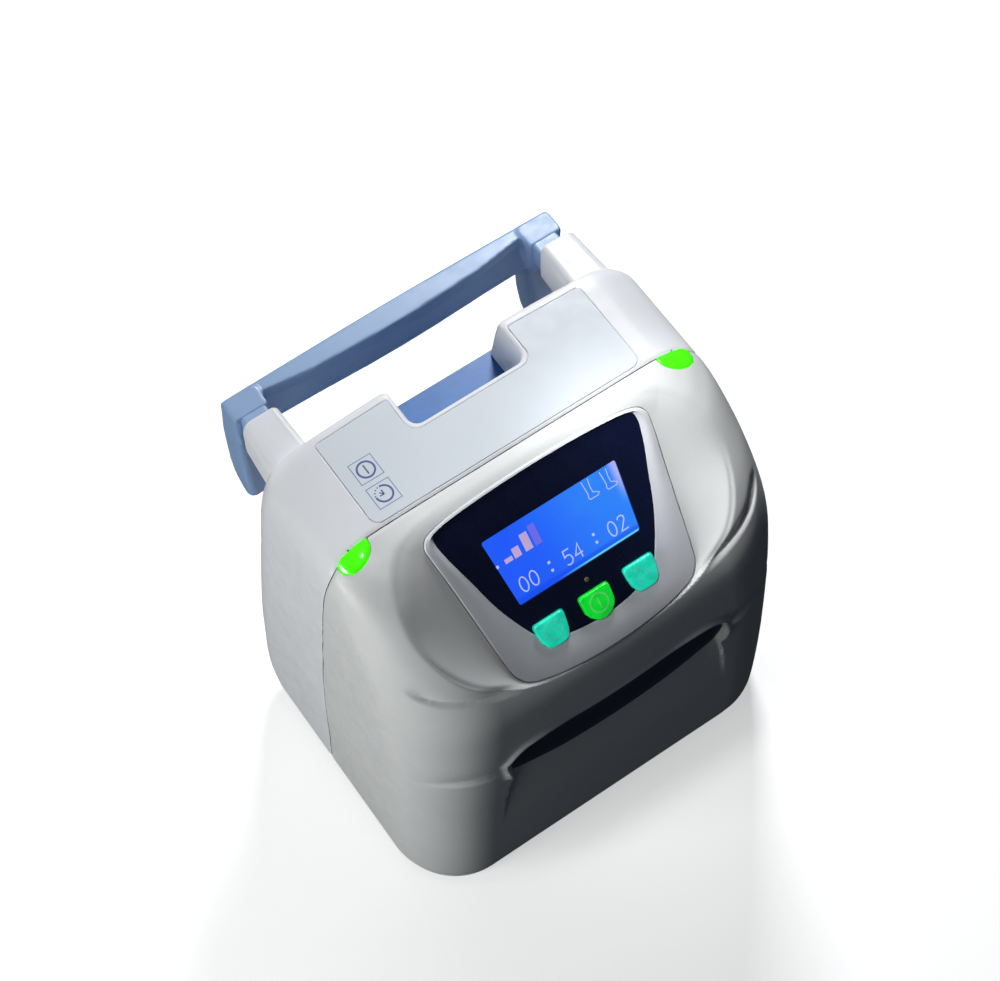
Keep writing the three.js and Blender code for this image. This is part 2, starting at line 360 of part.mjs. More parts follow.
// ---------------------------------------------------------------- inside
const compressor = outward(rbox(-34, 34, 14, 62, 22, 58, 4, 3)).add(outward(cylZ(20, -10, 38, 57, 84, 24))).add(outward(rbox(12, 32, 22, 54, 57, 74, 3, 3)));
const compressorPlate = outward(rbox(-44, 44, 8, 68, 18, 21.7, 4, 3));
const MOUNTS = [[-38, 14], [38, 14], [-38, 62], [38, 62]];
const rubberMount = ([x, y]) => outward(at(turned([[0, 6.3], [6, 6.3], [6, 8.4], [4, 10.6], [4, 13.4], [6, 15.6], [6, 17.7], [0, 17.7]], 14), x, y, 0));
const reservoir = outward(at(turned([[0, 0], [12, 0], [16, 4], [16, 62], [12, 66], [0, 66]], 20), -62, 28, 22));
const manifoldBlock = outward(rbox(44.4, 74, 14, 36, 24, 52, 2, 2));
const valve = (i) => outward(rbox(46.5 + i * 14, 57.5 + i * 14, 16, 34, 52.3, 76, 2, 2)).add(outward(cylZ(3, 52 + i * 14, 25, 75, 80, 12)));
const mainBoard = outward(box(-52, 54, 84.0, 85.6, 70, 172));
const heatSink = (() => { let m = outward(box(18, 50, 78.6, 83.7, 110, 150)); for (let i = 0; i < 4; i++) m = m.add(outward(box(20 + i * 8, 23 + i * 8, 66, 79, 110, 150))); return m; })();
const transformer = outward(rbox(-46, -12, 58, 83.7, 100, 134, 2, 2));
const battery = outward(rbox(-50, 50, -24, 8.5, 92, 128, 4, 3));
const batteryTray = outward(rbox(-54, 54, -27.5, 10, 88, 91.7, 2, 2));
const buzzer = outward(cylZ(9, 66, 60, 22, 31, 18));
const inletBody = outward(box(INLET_X - 13.6, INLET_X + 13.6, 86, 106.4, INLET_Z - 11.6, INLET_Z + 11.6)).add(outward(box(INLET_X - 17, INLET_X + 17, 107.6, 109.3, INLET_Z - 15, INLET_Z + 15)).add(outward(box(INLET_X - 13.6, INLET_X + 13.6, 100, 109, INLET_Z - 11.6, INLET_Z + 11.6))))
  .subtract(outward(rbox(INLET_X - 11, INLET_X + 11, 92, 120, INLET_Z - 8, INLET_Z + 8, 2, 2)));
const PINS = [[-7, 2], [0, -2.5], [7, 2]];
const inletPin = ([x, z], d) => outward(box(INLET_X + x - 1 - d, INLET_X + x + 1 + d, 89 - d, 103, INLET_Z + z - 2 - d, INLET_Z + z + 2 + d));
const inlet = PINS.reduce((m, p) => m.subtract(inletPin(p, GAP)), inletBody);
const port = (s) => { const x = PORT_X + s * 11; return outward(cylY(6.9, x, PORT_Z, 92, 110.5, 20)).add(outward(cylY(9, x, PORT_Z, 107.2, 109.6, 20))).add(outward(cylY(5.0, x, PORT_Z, 110, 120, 18, 5.0))).subtract(outward(cylY(3.2, x, PORT_Z, 94, 130, 14))); };
const portTube = (s) => outward(tube(s > 0
  ? [[PORT_X + 11, 91.2, PORT_Z], [35.5, 82, 60], [44, 66, 84], [56, 44, 92], [66, 26, 88], [66, 25, 80.8]]
  : [[PORT_X - 11, 91.2, PORT_Z], [14, 80, 62], [30, 70, 90], [44, 50, 96], [52, 27, 90], [52, 25, 80.8]], 2.6, 18, 6));
const supplyTube = outward(tube([[-62, 28, 88.6], [-62, 28, 92], [-58, 31, 99], [-44, 42, 97], [-24, 43, 96], [-12, 40.5, 94], [-10, 40, 90], [-10, 40, 84.8]], 2.6, 18, 6));

// ---------------------------------------------------------------- assembly
const paint = {
  white: [0xe9edef, 0.42, 0], silver: [0xb4b6b4, 0.36, 0.25], bezel: [0xa9abb2, 0.3, 0.6], navy: [0x0e1638, 0.12, 0],
  screen: [0x2a6cf0, 0.1, 0], teal: [0x2fd3b2, 0.35, 0], green: [0x25cf45, 0.35, 0], lamp: [0x6fe000, 0.15, 0],
  hook: [0x9db4d3, 0.4, 0], rubber: [0x1b1c1e, 0.85, 0], board: [0x1d6b3c, 0.5, 0], steel: [0xb9bcc0, 0.3, 1],
  black: [0x17181a, 0.5, 0], alloy: [0xc3c6ca, 0.35, 1], label: [0xd6dce2, 0.5, 0], tubing: [0xdfe4e2, 0.3, 0], brass: [0xc9a24a, 0.3, 1],
  pack: [0x2b3a55, 0.5, 0],
};
// drop slivers that a cut leaves behind, keep the piece itself
function main(man, name) {
  const parts = man.decompose();
  if (parts.length === 1) return man;
  parts.sort((a, b) => b.volume() - a.volume());
  if (parts[1].volume() > 20) throw new Error(`${name} falls apart: ${parts.map((p) => p.volume().toFixed(1) + ' at ' + JSON.stringify(p.boundingBox()))}`);
  return parts[0];
}
const group = new THREE.Group();
const model = new THREE.Group();
model.position.y = -Y_CENTRE;
group.add(model);
function add(name, man, kind) {
  const [color, roughness, metalness] = paint[kind];
  const mesh = new THREE.Mesh(geometryOf(main(man, name)), new THREE.MeshStandardMaterial({ color, roughness, metalness }));
  mesh.name = name;
  model.add(mesh);
}
add('front_shell', front, 'silver');
add('rear_shell', rear, 'white');
add('rear_cover', cover, 'hook');
add('base_plate', base, 'white');
add('label_plate', labelPlate, 'label');
add('arm_sleeve_left', arm(-1), 'white');
add('arm_sleeve_right', arm(1), 'white');
add('bed_hook', hook, 'hook');
add('hook_stem_left', stem(-1), 'alloy');
add('hook_stem_right', stem(1), 'alloy');
add('hook_collar_left', collar(-1), 'white');
add('hook_collar_right', collar(1), 'white');
add('stem_stop_pin_left', stemPin(-1), 'steel');
add('stem_stop_pin_right', stemPin(1), 'steel');
add('display_bezel', bezel, 'bezel');
add('display_overlay', overlay, 'navy');
add('lcd_screen', lcd, 'screen');
add('display_board', displayBoard, 'board');
add('key_switch_pad', keyPad, 'rubber');
add('status_lamp', statusLamp, 'lamp');
add('button_left', key(KEYS[0]), 'teal');
add('button_centre', key(KEYS[1]), 'green');
add('button_right', key(KEYS[2]), 'teal');
add('lamp_lens_left', lens(-1), 'lamp');
add('lamp_lens_right', lens(1), 'lamp');
add('front_inlay', inlayBlock(0, -37.6, -36.8).intersect(outward(casing(0.5, LEVELS, TOP_Z, SHELL_BOTTOM))), 'navy');
FEET.forEach((p, i) => add(`foot_${i + 1}`, foot(p), 'rubber'));
SCREWS.forEach((p, i) => add(`base_screw_${i + 1}`, screw(p), 'steel'));
add('compressor', compressor, 'alloy');
add('compressor_plate', compressorPlate, 'steel');
MOUNTS.forEach((p, i) => add(`compressor_mount_${i + 1}`, rubberMount(p), 'rubber'));
add('air_reservoir', reservoir, 'black');
add('valve_manifold', manifoldBlock, 'black');
add('solenoid_valve_1', valve(0), 'steel');
add('solenoid_valve_2', valve(1), 'steel');
add('main_board', mainBoard, 'board');
add('heat_sink', heatSink, 'alloy');
add('transformer', transformer, 'steel');
add('battery_pack', battery, 'pack');
add('battery_tray', batteryTray, 'black');
add('buzzer', buzzer, 'black');
add('power_inlet', inlet, 'black');
PINS.forEach((p, i) => add(`inlet_pin_${i + 1}`, inletPin(p, 0), 'brass'));
add('air_port_left', port(-1), 'white');
add('air_port_right', port(1), 'white');
add('supply_tube', supplyTube, 'tubing');
add('port_tube_left', portTube(-1), 'tubing');
add('port_tube_right', portTube(1), 'tubing');

export default group;
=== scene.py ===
"""Compression therapy pump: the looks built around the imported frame.

Shapes are worked out in millimetres, x to the right seen from the front, y to the back, z up from the
floor, and are moved into the frame's metres when a piece is finished.
"""
import math

import bpy
import numpy as np
from mathutils import Matrix, Vector


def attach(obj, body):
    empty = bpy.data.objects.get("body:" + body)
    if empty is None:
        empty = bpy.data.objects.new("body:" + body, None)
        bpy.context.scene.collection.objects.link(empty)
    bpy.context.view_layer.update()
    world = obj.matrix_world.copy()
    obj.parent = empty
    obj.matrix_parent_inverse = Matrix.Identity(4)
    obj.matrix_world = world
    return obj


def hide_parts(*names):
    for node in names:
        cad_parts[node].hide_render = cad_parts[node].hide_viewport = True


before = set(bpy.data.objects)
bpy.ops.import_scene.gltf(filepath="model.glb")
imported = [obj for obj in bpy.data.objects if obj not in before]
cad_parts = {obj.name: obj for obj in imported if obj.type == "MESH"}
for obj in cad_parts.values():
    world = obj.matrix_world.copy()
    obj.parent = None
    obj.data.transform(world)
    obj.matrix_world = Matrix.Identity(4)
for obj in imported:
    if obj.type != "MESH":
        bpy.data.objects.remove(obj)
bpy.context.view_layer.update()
scene = bpy.context.scene
Y_CENTRE = 44.3
TO_FRAME = Matrix.Scale(0.001, 4) @ Matrix.Translation((0, -Y_CENTRE, 0))

# ------------------------------------------------------------------ driving dimensions
TOP_Z, RIM_Z, BASE_Z, WALL = 218.0, 12.0, 3.0, 2.6
TILT = math.radians(46)
ST, CT = math.sin(TILT), math.cos(TILT)
PANEL_Z = 198.4
W_OF_Z = [[12, 92.2], [14, 93], [60, 93.2], [100, 92.6], [150, 91.3], [185, 89.5], [200, 87.8], [208, 85.4], [212.5, 81.4], [215.3, 76.3], [217.2, 69.5], [218, 62.5]]
F_OF_Z = [[12, -36.2], [14, -37.1], [40, -38], [80, -38.5], [120, -38.5], [145, -38], [158, -37], [168, -34], [178, -28.5], [187, -21.5], [195, -13.5], [203, -4.5], [209, 3.5], [213.2, 11], [216, 19], [217.4, 27], [218, 35.5]]
B_OF_Z = [[12, 98.2], [14, 100], [24, 105], [45, 107], [77, 106], [110, 102.5], [147, 97], [180, 91.5], [200, 87], [210, 84.2], [214, 83.0], [216.2, 82.2], [217.3, 81.3], [217.8, 80.3], [218, 79.0]]
RF_OF_Z = [[12, 31], [60, 31.5], [120, 33.5], [165, 36], [195, 34], [210, 28], [215, 20], [218, 10]]
RB_OF_Z = [[12, 14], [60, 20], [150, 20], [200, 14], [212, 10], [218, 6]]
PARTING = [[-5, 47], [25, 44.4], [46, 42.8], [73, 42.3], [97, 41.3], [130, 38.6], [156, 36.5], [180, 34.9], [195, 33.4], [204, 32.1], [209, 32.0], [212, 32.8], [216, 34.3], [240, 34.4]]
BEZEL_HALF = [[0, 32.0], [20, 31.6], [36, 30.6], [45, 29.3], [49.6, 27.6], [51.6, 24.6], [51.3, 19.5], [49.6, 8], [46.6, -15], [44.4, -32], [43.0, -38.6], [39.4, -43.4], [31, -46.8], [16, -49.2], [0, -49.9]]
OVERLAY_HALF = [[0, 30.6], [20, 30.2], [36, 29.2], [43.4, 28.3], [46.3, 27.2], [46.9, 24.2], [45.6, 17.5], [41.5, 4], [37, -10.5], [30.8, -24], [27, -30.0], [20, -34.2], [10, -36.6], [0, -37.2]]
DISH_HALF = [[0, 35.2], [30, 34.6], [44, 33.4], [52, 31.8], [59.5, 28.2], [66, 21.5], [70.4, 12], [72.2, 1], [71.9, -6.5], [69.6, -16], [65, -25.5], [58.4, -33.4], [49, -39.8], [40, -44.4], [30, -47.8], [15, -50.2], [0, -50.9]]
GROOVE = [[-50.6, 106.4], [-52.3, 111.5], [-52.4, 118.0], [-50.2, 123.2], [-45.6, 126.2], [-38.6, 126.9], [-29, 125.4], [-20, 123.8], [-10, 122.7], [0, 122.3], [10, 122.7], [20, 123.8], [29, 125.4], [38.6, 126.9], [45.6, 126.2], [50.2, 123.2], [52.4, 118.0], [52.3, 111.5], [50.6, 106.4], [41, 102.0], [27, 97.6], [13, 95.6], [0, 95.0], [-13, 95.6], [-27, 97.6], [-41, 102.0]]
LENS = [[67.4, 34.2], [67.5, 32.4], [68.2, 30.3], [70.2, 27.8], [73.6, 26.0], [77.6, 25.8], [80.4, 27.2], [81.8, 29.6], [82.0, 32.0], [82.0, 34.2]]
NOTCH_HALF, NOTCH_Y, NOTCH_FLOOR = 26.2, 63.5, 186.0


# ------------------------------------------------------------------ small mathematics
def table(t, z):
    """Smooth curve through a table of (height, value)."""
    t = np.asarray(t, float)
    x, y = t[:, 0], t[:, 1]
    z = np.clip(np.asarray(z, float), x[0], x[-1])
    m = np.empty(len(x))
    m[1:-1] = (y[2:] - y[:-2]) / (x[2:] - x[:-2])
    m[0] = 0.5 * (y[1] - y[0]) / (x[1] - x[0])
    m[-1] = 0.5 * (y[-1] - y[-2]) / (x[-1] - x[-2])
    i = np.clip(np.searchsorted(x, z, side="left"), 1, len(x) - 1)
    h = x[i] - x[i - 1]
    s = (z - x[i - 1]) / h
    return ((2 * s**3 - 3 * s**2 + 1) * y[i - 1] + (s**3 - 2 * s**2 + s) * m[i - 1] * h
            + (-2 * s**3 + 3 * s**2) * y[i] + (s**3 - s**2) * m[i] * h)


def step(a, b, x):
    t = np.clip((np.asarray(x, float) - a) / (b - a), 0, 1)
    return t * t * (3 - 2 * t)


def closed_curve(pts, per=14):
    """Dense closed curve through control points."""
    p = np.asarray(pts, float)
    n = len(p)
    out = []
    for i in range(n):
        a, b, c, d = p[(i - 1) % n], p[i], p[(i + 1) % n], p[(i + 2) % n]
        ta, tb = np.linalg.norm(b - a) ** 0.5, np.linalg.norm(c - b) ** 0.5
        tc = np.linalg.norm(d - c) ** 0.5
        m1 = (c - b) + tb * ((b - a) / ta - (c - a) / (ta + tb))
        m2 = (c - b) + tb * ((d - c) / tc - (d - b) / (tb + tc))
        for k in range(per):
            s = k / per
            out.append((2 * s**3 - 3 * s**2 + 1) * b + (s**3 - 2 * s**2 + s) * m1 + (-2 * s**3 + 3 * s**2) * c + (s**3 - s**2) * m2)
    return np.array(out)


def mirror_half(half):
    h = [list(map(float, p)) for p in half]
    return h + [[-x, v] for x, v in reversed(h[1:-1])]


CENTRE_V = -6.0


def polar(outline, angles):
    """Radius of a star-shaped outline about the middle of the panel."""
    d = np.asarray(outline) - np.array([0, CENTRE_V])
    a, r = np.arctan2(d[:, 1], d[:, 0]), np.hypot(d[:, 0], d[:, 1])
    o = np.argsort(a)
    a, r = a[o], r[o]
    a = np.concatenate([a - 2 * np.pi, a, a + 2 * np.pi])
    r = np.concatenate([r, r, r])
    return np.interp(angles, a, r)


BEZEL = closed_curve(mirror_half(BEZEL_HALF))
OVERLAY = closed_curve(mirror_half(OVERLAY_HALF))
DISH = closed_curve(mirror_half(DISH_HALF))
GROOVE_LINE = closed_curve(GROOVE, 16)


def on_panel(x, v, w):
    """Panel coordinates to the object's: x across, v up the panel, w out of it."""
    x, v, w = np.broadcast_arrays(np.asarray(x, float), v, w)
    return np.stack([x, v * ST - w * CT, PANEL_Z + v * CT + w * ST], -1)


def panel_vw(p):
    y, z = p[..., 1], p[..., 2] - PANEL_Z
    return y * ST + z * CT, -y * CT + z * ST


def bend(v):
    """The display rolls back a little towards its top edge."""
    return -0.0052 * np.maximum(np.asarray(v, float) - 10, 0) ** 2


# ------------------------------------------------------------------ casing surface
COLS = dict(front=150, corner=56, side=60, rear_corner=16, rear=44)


def section(z, d=0.0, cols=COLS):
    """Rings of the casing at heights z: array (rows, columns, 3)."""
    z = np.atleast_1d(np.asarray(z, float))
    w, f, b = table(W_OF_Z, z) - d, table(F_OF_Z, z) + d, table(B_OF_Z, z) - d
    rf = np.maximum(table(RF_OF_Z, z) - d, 3)
    rb = np.maximum(table(RB_OF_Z, z) - d, 3)
    parts = []

    def line(x0, y0, x1, y1, k):
        s = np.arange(k) / k
        parts.append(np.stack([x0[:, None] + (x1 - x0)[:, None] * s, y0[:, None] + (y1 - y0)[:, None] * s], -1))

    def arc(cx, cy, r, a0, k):
        a = a0 + math.pi / 2 * np.arange(k) / k
        parts.append(np.stack([cx[:, None] + r[:, None] * np.cos(a), cy[:, None] + r[:, None] * np.sin(a)], -1))

    line(-w + rf, f, w - rf, f, cols["front"])
    arc(w - rf, f + rf, rf, -math.pi / 2, cols["corner"])
    line(w, f + rf, w, b - rb, cols["side"])
    arc(w - rb, b - rb, rb, 0, cols["rear_corner"])
    line(w - rb, b, -w + rb, b, cols["rear"])
    arc(-w + rb, b - rb, rb, math.pi / 2, cols["rear_corner"])
    line(-w, b - rb, -w, f + rf, cols["side"])
    arc(-w + rf, f + rf, rf, math.pi, cols["corner"])
    xy = np.concatenate(parts, 1)
    zz = np.broadcast_to(z[:, None], xy.shape[:2])
    return np.concatenate([xy, zz[..., None]], -1)


def outside(x, y, z):
    """How far a point near the front lies outside the plain casing, within its level."""
    zc = np.clip(z, 12, TOP_Z)
    w, f, rf = table(W_OF_Z, zc), table(F_OF_Z, zc), table(RF_OF_Z, zc)
    qx, qy = np.abs(x) - (w - rf), (f + rf) - y
    g = np.where((qx > 0) & (qy > 0), np.hypot(qx, qy), np.maximum(qx, qy)) - rf
    return np.maximum(g, z - TOP_Z)


def casing_w(x, v):
    """Height above the panel plane at which the plain casing lies."""
    lo, hi = np.full(np.shape(x), -34.0), np.full(np.shape(x), 22.0)
    for _ in range(34):
        mid = (lo + hi) / 2
        p = on_panel(x, v, mid)
        out = outside(p[..., 0], p[..., 1], p[..., 2]) > 0
        hi, lo = np.where(out, mid, hi), np.where(out, lo, mid)
    return (lo + hi) / 2


def casing_top(x, y):
    """Height of the plain casing above a point of the plan."""
    lo, hi = np.full(np.shape(x), 150.0), np.full(np.shape(x), 219.0)
    for _ in range(30):
        mid = (lo + hi) / 2
        out = outside(x, y, mid) > 0
        hi, lo = np.where(out, mid, hi), np.where(out, lo, mid)
    return (lo + hi) / 2


def rows_by_length(z0, z1, pitch):
    z = np.linspace(z0, z1, 4000)
    df, dw, dz = np.diff(table(F_OF_Z, z)), np.diff(table(W_OF_Z, z)), np.diff(z)
    db = np.diff(table(B_OF_Z, z))
    s = np.concatenate([[0], np.cumsum(np.sqrt(np.maximum(np.maximum(df**2, dw**2), db**2 * 0.6) + dz**2))])
    n = max(2, int(s[-1] / pitch))
    return np.interp(np.linspace(0, s[-1], n + 1), s, z)


def grid_normals(p):
    a = np.roll(p, -1, 1) - np.roll(p, 1, 1)
    b = np.empty_like(p)
    b[1:-1] = p[2:] - p[:-2]
    b[0], b[-1] = p[1] - p[0], p[-1] - p[-2]
    n = np.cross(a, b)
    return n / np.maximum(np.linalg.norm(n, axis=-1, keepdims=True), 1e-9)


def smin(a, b, k):
    h = np.clip(0.5 + 0.5 * (b - a) / k, 0, 1)
    return b + (a - b) * h - k * h * (1 - h)


ANG = np.linspace(-math.pi, math.pi, 2161)
R_BEZEL = polar(BEZEL, ANG)
R_DISH = polar(DISH, ANG)
_rimx, _rimv = R_DISH * np.cos(ANG), CENTRE_V + R_DISH * np.sin(ANG)
W_RIM = casing_w(_rimx, _rimv)


def to_polyline(px, pz, line, closed=True):
    """Distance from points to a polyline, and where on it the nearest point lies (0..1)."""
    a = np.asarray(line, float)
    b = np.roll(a, -1, 0) if closed else a[1:]
    a = a if closed else a[:-1]
    best, where = np.full(px.shape, 1e9), np.zeros(px.shape)
    for k in range(len(a)):
        d = b[k] - a[k]
        l2 = max(d @ d, 1e-12)
        t = np.clip(((px - a[k][0]) * d[0] + (pz - a[k][1]) * d[1]) / l2, 0, 1)
        q = np.hypot(px - a[k][0] - t * d[0], pz - a[k][1] - t * d[1])
        m = q < best
        best, where = np.where(m, q, best), np.where(m, (k + t) / len(a), where)
    return best, where


def inside_of(px, pz, line):
    a = np.asarray(line, float)
    b = np.roll(a, -1, 0)
    c = np.zeros(px.shape, bool)
    for (x0, z0), (x1, z1) in zip(a, b):
        hit = (z0 > pz) != (z1 > pz)
        c ^= hit & (px < (x1 - x0) * (pz - z0) / (z1 - z0 + 1e-12) + x0)
    return c


def smooth_line(pts, per=10):
    """Dense open curve through control points."""
    p = np.asarray(pts, float)
    p = np.vstack([2 * p[0] - p[1], p, 2 * p[-1] - p[-2]])
    out = []
    for i in range(1, len(p) - 2):
        for k in range(per):
            s = k / per
            a, b, c, d = p[i - 1], p[i], p[i + 1], p[i + 2]
            out.append(0.5 * (2 * b + (c - a) * s + (2 * a - 5 * b + 4 * c - d) * s**2 + (3 * b - 3 * c + d - a) * s**3))
    out.append(p[-2])
    return np.array(out)


SMILE = smooth_line([(83.0, -19.5), (81.6, -23.2), (79.0, -27.0), (74.1, -31.5), (68.8, -34.6), (63.5, -37.0), (55.5, -39.9), (48.6, -42.4), (42.5, -44.9)])
SIDE_CREASE = smooth_line([(49.5, 110.5), (54.6, 114.0), (62, 116.2), (71.2, 117.6), (79, 117.4), (86, 115.0), (91, 112)])
FOOT_CREASE = smooth_line([(51.0, 106.0), (52.4, 99.5), (54.0, 92.0), (55.8, 76), (57.2, 60.0)])


def rear_bow(x, z):
    return 1.75 * np.clip(1 - (np.asarray(x, float) / 66) ** 2, 0, 1) * step(190, 214, z)


def sculpt(p, n):
    """Moves the plain casing's points (rows, columns, 3) into the moulded shape."""
    p = p.copy()
    x, y, z = p[..., 0], p[..., 1], p[..., 2]
    ax = np.abs(x)
    # brow above the display: the top runs on level to the display's upper edge
    m = (1 - step(46, 66, ax)) * (y < 36) * (z > 205) * step(8, 20, y)
    lift = TOP_Z + 0.75 * (1 - step(24, 34.5, y)) - 0.0042 * np.maximum(24 - y, 0) ** 2
    p[..., 2] = z + m * np.maximum(lift - z, 0)
    z = p[..., 2]
    # the rear edge of the top bows back a little
    p[..., 1] += rear_bow(x, z) * (y > 75)
    # bowl round the display
    v, w = panel_vw(p)
    near = (w > -12) & (v > -62) & (v < 48) & (ax < 90) & (n[..., 1] * -CT + n[..., 2] * ST > 0.02)
    r, a = np.hypot(x, v - CENTRE_V), np.arctan2(v - CENTRE_V, x)
    rb, rd, wr = np.interp(a, ANG, R_BEZEL), np.interp(a, ANG, R_DISH), np.interp(a, ANG, W_RIM)
    t = (r - rb) / np.maximum(rd - rb, 0.6)
    edge = -0.35 + bend(v)
    low = step(2, 22, -v)                                  # towards the lower rim
    high = step(6, 24, v)
    rise = np.where(t < 1, 0.40 * t + 0.60 * np.maximum(t, 0) ** 2.0, 1 + 1.6 * (t - 1) + 1.0 * (t - 1) ** 2)
    bowl = np.where(t > 0, edge + (np.maximum(wr, edge + 0.2) - edge) * rise, edge)
    deg = np.degrees(np.arctan2(v - CENTRE_V, ax))
    ear = (1 - step(14, 36, deg)) * (1 - step(34, 62, -deg))
    bowl = bowl + np.where(t > 1.0, (r - rd) * 0.25, 0)
    k = 2.4 * (1 - low) + 0.35 * low + 1.0 * high
    target = smin(w, bowl, k)
    side = step(20, 42, ax)
    target = np.where(t > 3.0, w, target)
    blend = near & (t < 3.0)
    dw = np.where(blend, np.minimum(target - w, 0), 0)
    # fine tuck along the lower rim of the bowl
    tuck = 0.85 * np.exp(-(((r - rd + 0.2) / 0.60) ** 2)) * low * side * near
    dw = dw - tuck
    p[..., 1] += -CT * dw
    p[..., 2] += ST * dw
    # creases that run out on either side below the bowl
    out = np.zeros(x.shape)
    sel = near & (ax > 36) & (v < -10)
    d, s = to_polyline(ax[sel], v[sel], SMILE, closed=False)
    fade = step(0.0, 0.30, s) * (1 - step(0.72, 1.0, s))
    q = SMILE[np.clip((s * (len(SMILE) - 1)).astype(int), 0, len(SMILE) - 1)]
    below = v[sel] < q[:, 1]
    out[sel] -= fade * 2.0 * np.exp(-((d / np.where(below, 0.9, 2.6)) ** 2))
        # handle groove across the front
    sel = (y < 10) & (z > 84) & (z < 142) & (ax < 66)
    d, s = to_polyline(x[sel], z[sel], GROOVE_LINE[::3])
    inside = inside_of(x[sel], z[sel], GROOVE_LINE[::3])
    zs, xs = z[sel], ax[sel]
    top = step(103, 108, zs)
    end = 0.30 + 0.70 * step(20, 42, xs)
    bead = 1.6 * np.exp(-(((d - 2.2) / 1.7) ** 2)) * top * end
    lip = -0.8 * np.exp(-((d / 0.7) ** 2)) * top
    out[sel] += np.where(inside, 0, bead + lip)
    # lower middle set back below the groove, running out towards the foot
    sel = (y < 10) & (z > 54) & (z < 124) & (ax < 66)
    xe = np.interp(z[sel], FOOT_CREASE[::-1, 1], FOOT_CREASE[::-1, 0])
    depth = 2.5 * step(56, 104, z[sel]) ** 1.1
    inner = step(-0.40, 0.40, xe - ax[sel])
    zb = np.interp(x[sel], [-50.6, -41, -27, -13, 0, 13, 27, 41, 50.6], [106.4, 102.0, 97.6, 95.6, 95.0, 95.6, 97.6, 102.0, 106.4])
    under = 1 - step(-0.3, 0.6, z[sel] - zb)
    ins = inside_of(x[sel], z[sel], GROOVE_LINE[::3])
    out[sel] -= depth * inner * np.maximum(under, ins)
    # shelf that leaves the groove's ends and climbs round the corners
    sel = (z > 84) & (z < 145) & (ax > 47) & (y < 30)
    zc = np.interp(ax[sel], SIDE_CREASE[:, 0], SIDE_CREASE[:, 1])
    fade = step(47, 52, ax[sel]) * (1 - step(66, 90, ax[sel]))
    dz = zc - z[sel]
    out[sel] += fade * np.where(dz > 0, 0.80 * np.exp(-dz / 12.0) * step(0, 1.2, dz), 0)
    out[sel] -= fade * np.where(dz < 0, 1.5 * step(0, 1.6, -dz) * np.exp(-((np.minimum(dz + 1.6, 0) / 5.5) ** 2)), 0)
    # rolled lips on both sides of the parting line
    yp = table(PARTING, z)
    d = np.abs(y - yp)
    out -= 0.42 * np.exp(-((d / 0.85) ** 2)) * ((y < 70) & (z > 12.1))
    p += n * out[..., None]
    return p


# ------------------------------------------------------------------ mesh helpers
def mesh_from(name, verts, faces):
    """faces: list of (n, k) index arrays, k 3 or 4 or more."""
    me = bpy.data.meshes.new(name)
    verts = np.asarray(verts, np.float32).reshape(-1, 3)
    me.vertices.add(len(verts))
    me.vertices.foreach_set("co", verts.ravel())
    loops, starts, totals, at = [], [], [], 0
    for f in faces:
        f = np.asarray(f, np.int32)
        if f.ndim == 1:
            f = f[None]
        loops.append(f.ravel())
        starts.append(at + np.arange(len(f)) * f.shape[1])
        totals.append(np.full(len(f), f.shape[1]))
        at += f.size
    loops, starts, totals = np.concatenate(loops), np.concatenate(starts), np.concatenate(totals)
    me.loops.add(len(loops))
    me.loops.foreach_set("vertex_index", loops.astype(np.int32))
    me.polygons.add(len(starts))
    me.polygons.foreach_set("loop_start", starts.astype(np.int32))
    me.update(calc_edges=True)
    me.validate()
    return me


def obj_from(name, verts, faces):
    ob = bpy.data.objects.new(name, mesh_from(name, verts, faces))
    scene.collection.objects.link(ob)
    return ob


def rings(name, levels, cap0="fan", cap1="fan", flip=False):
    """Closed body from stacked closed rings, array (rows, columns, 3)."""
    levels = np.asarray(levels, float)
    r, c = levels.shape[:2]
    i = np.arange(c)
    j = np.roll(i, -1)
    quads = np.concatenate([np.stack([k * c + i, k * c + j, (k + 1) * c + j, (k + 1) * c + i], -1) for k in range(r - 1)])
    verts, faces = [levels.reshape(-1, 3)], [quads]
    n = r * c
    for cap, row, order in ((cap0, 0, -1), (cap1, r - 1, 1)):
        idx = row * c + i
        if cap == "fan":
            verts.append(levels[row].mean(0)[None])
            a, b = (idx, row * c + j) if order > 0 else (row * c + j, idx)
            faces.append(np.stack([a, b, np.full(c, n)], -1))
            n += 1
        elif cap == "ngon":
            faces.append(idx[None] if order > 0 else idx[::-1][None])
    verts = np.concatenate(verts)
    if flip:
        faces = [f[:, ::-1] for f in faces]
    return obj_from(name, verts, faces)


def prism(name, outline, lo, hi, place=None):
    """Straight body over a 2-D outline, from lo to hi."""
    o = np.asarray(outline, float)
    area = 0.5 * np.sum(o[:, 0] * np.roll(o[:, 1], -1) - np.roll(o[:, 0], -1) * o[:, 1])
    if area < 0:
        o = o[::-1]
    a = np.stack([np.concatenate([o, np.full((len(o), 1), z)], 1) for z in (lo, hi)])
    if place is not None:
        a = place(a[..., 0], a[..., 1], a[..., 2])
    return rings(name, a, "ngon", "ngon")


def box_body(name, x0, x1, y0, y1, z0, z1):
    o = np.array([[x0, y0], [x1, y0], [x1, y1], [x0, y1]], float)
    return prism(name, o, z0, z1)


def rounded(x0, x1, y0, y1, r, n=8):
    out = []
    for cx, cy, a0 in ((x1 - r, y0 + r, -90), (x1 - r, y1 - r, 0), (x0 + r, y1 - r, 90), (x0 + r, y0 + r, 180)):
        for k in range(n + 1):
            a = math.radians(a0 + 90 * k / n)
            out.append((cx + r * math.cos(a), cy + r * math.sin(a)))
    return np.array(out)


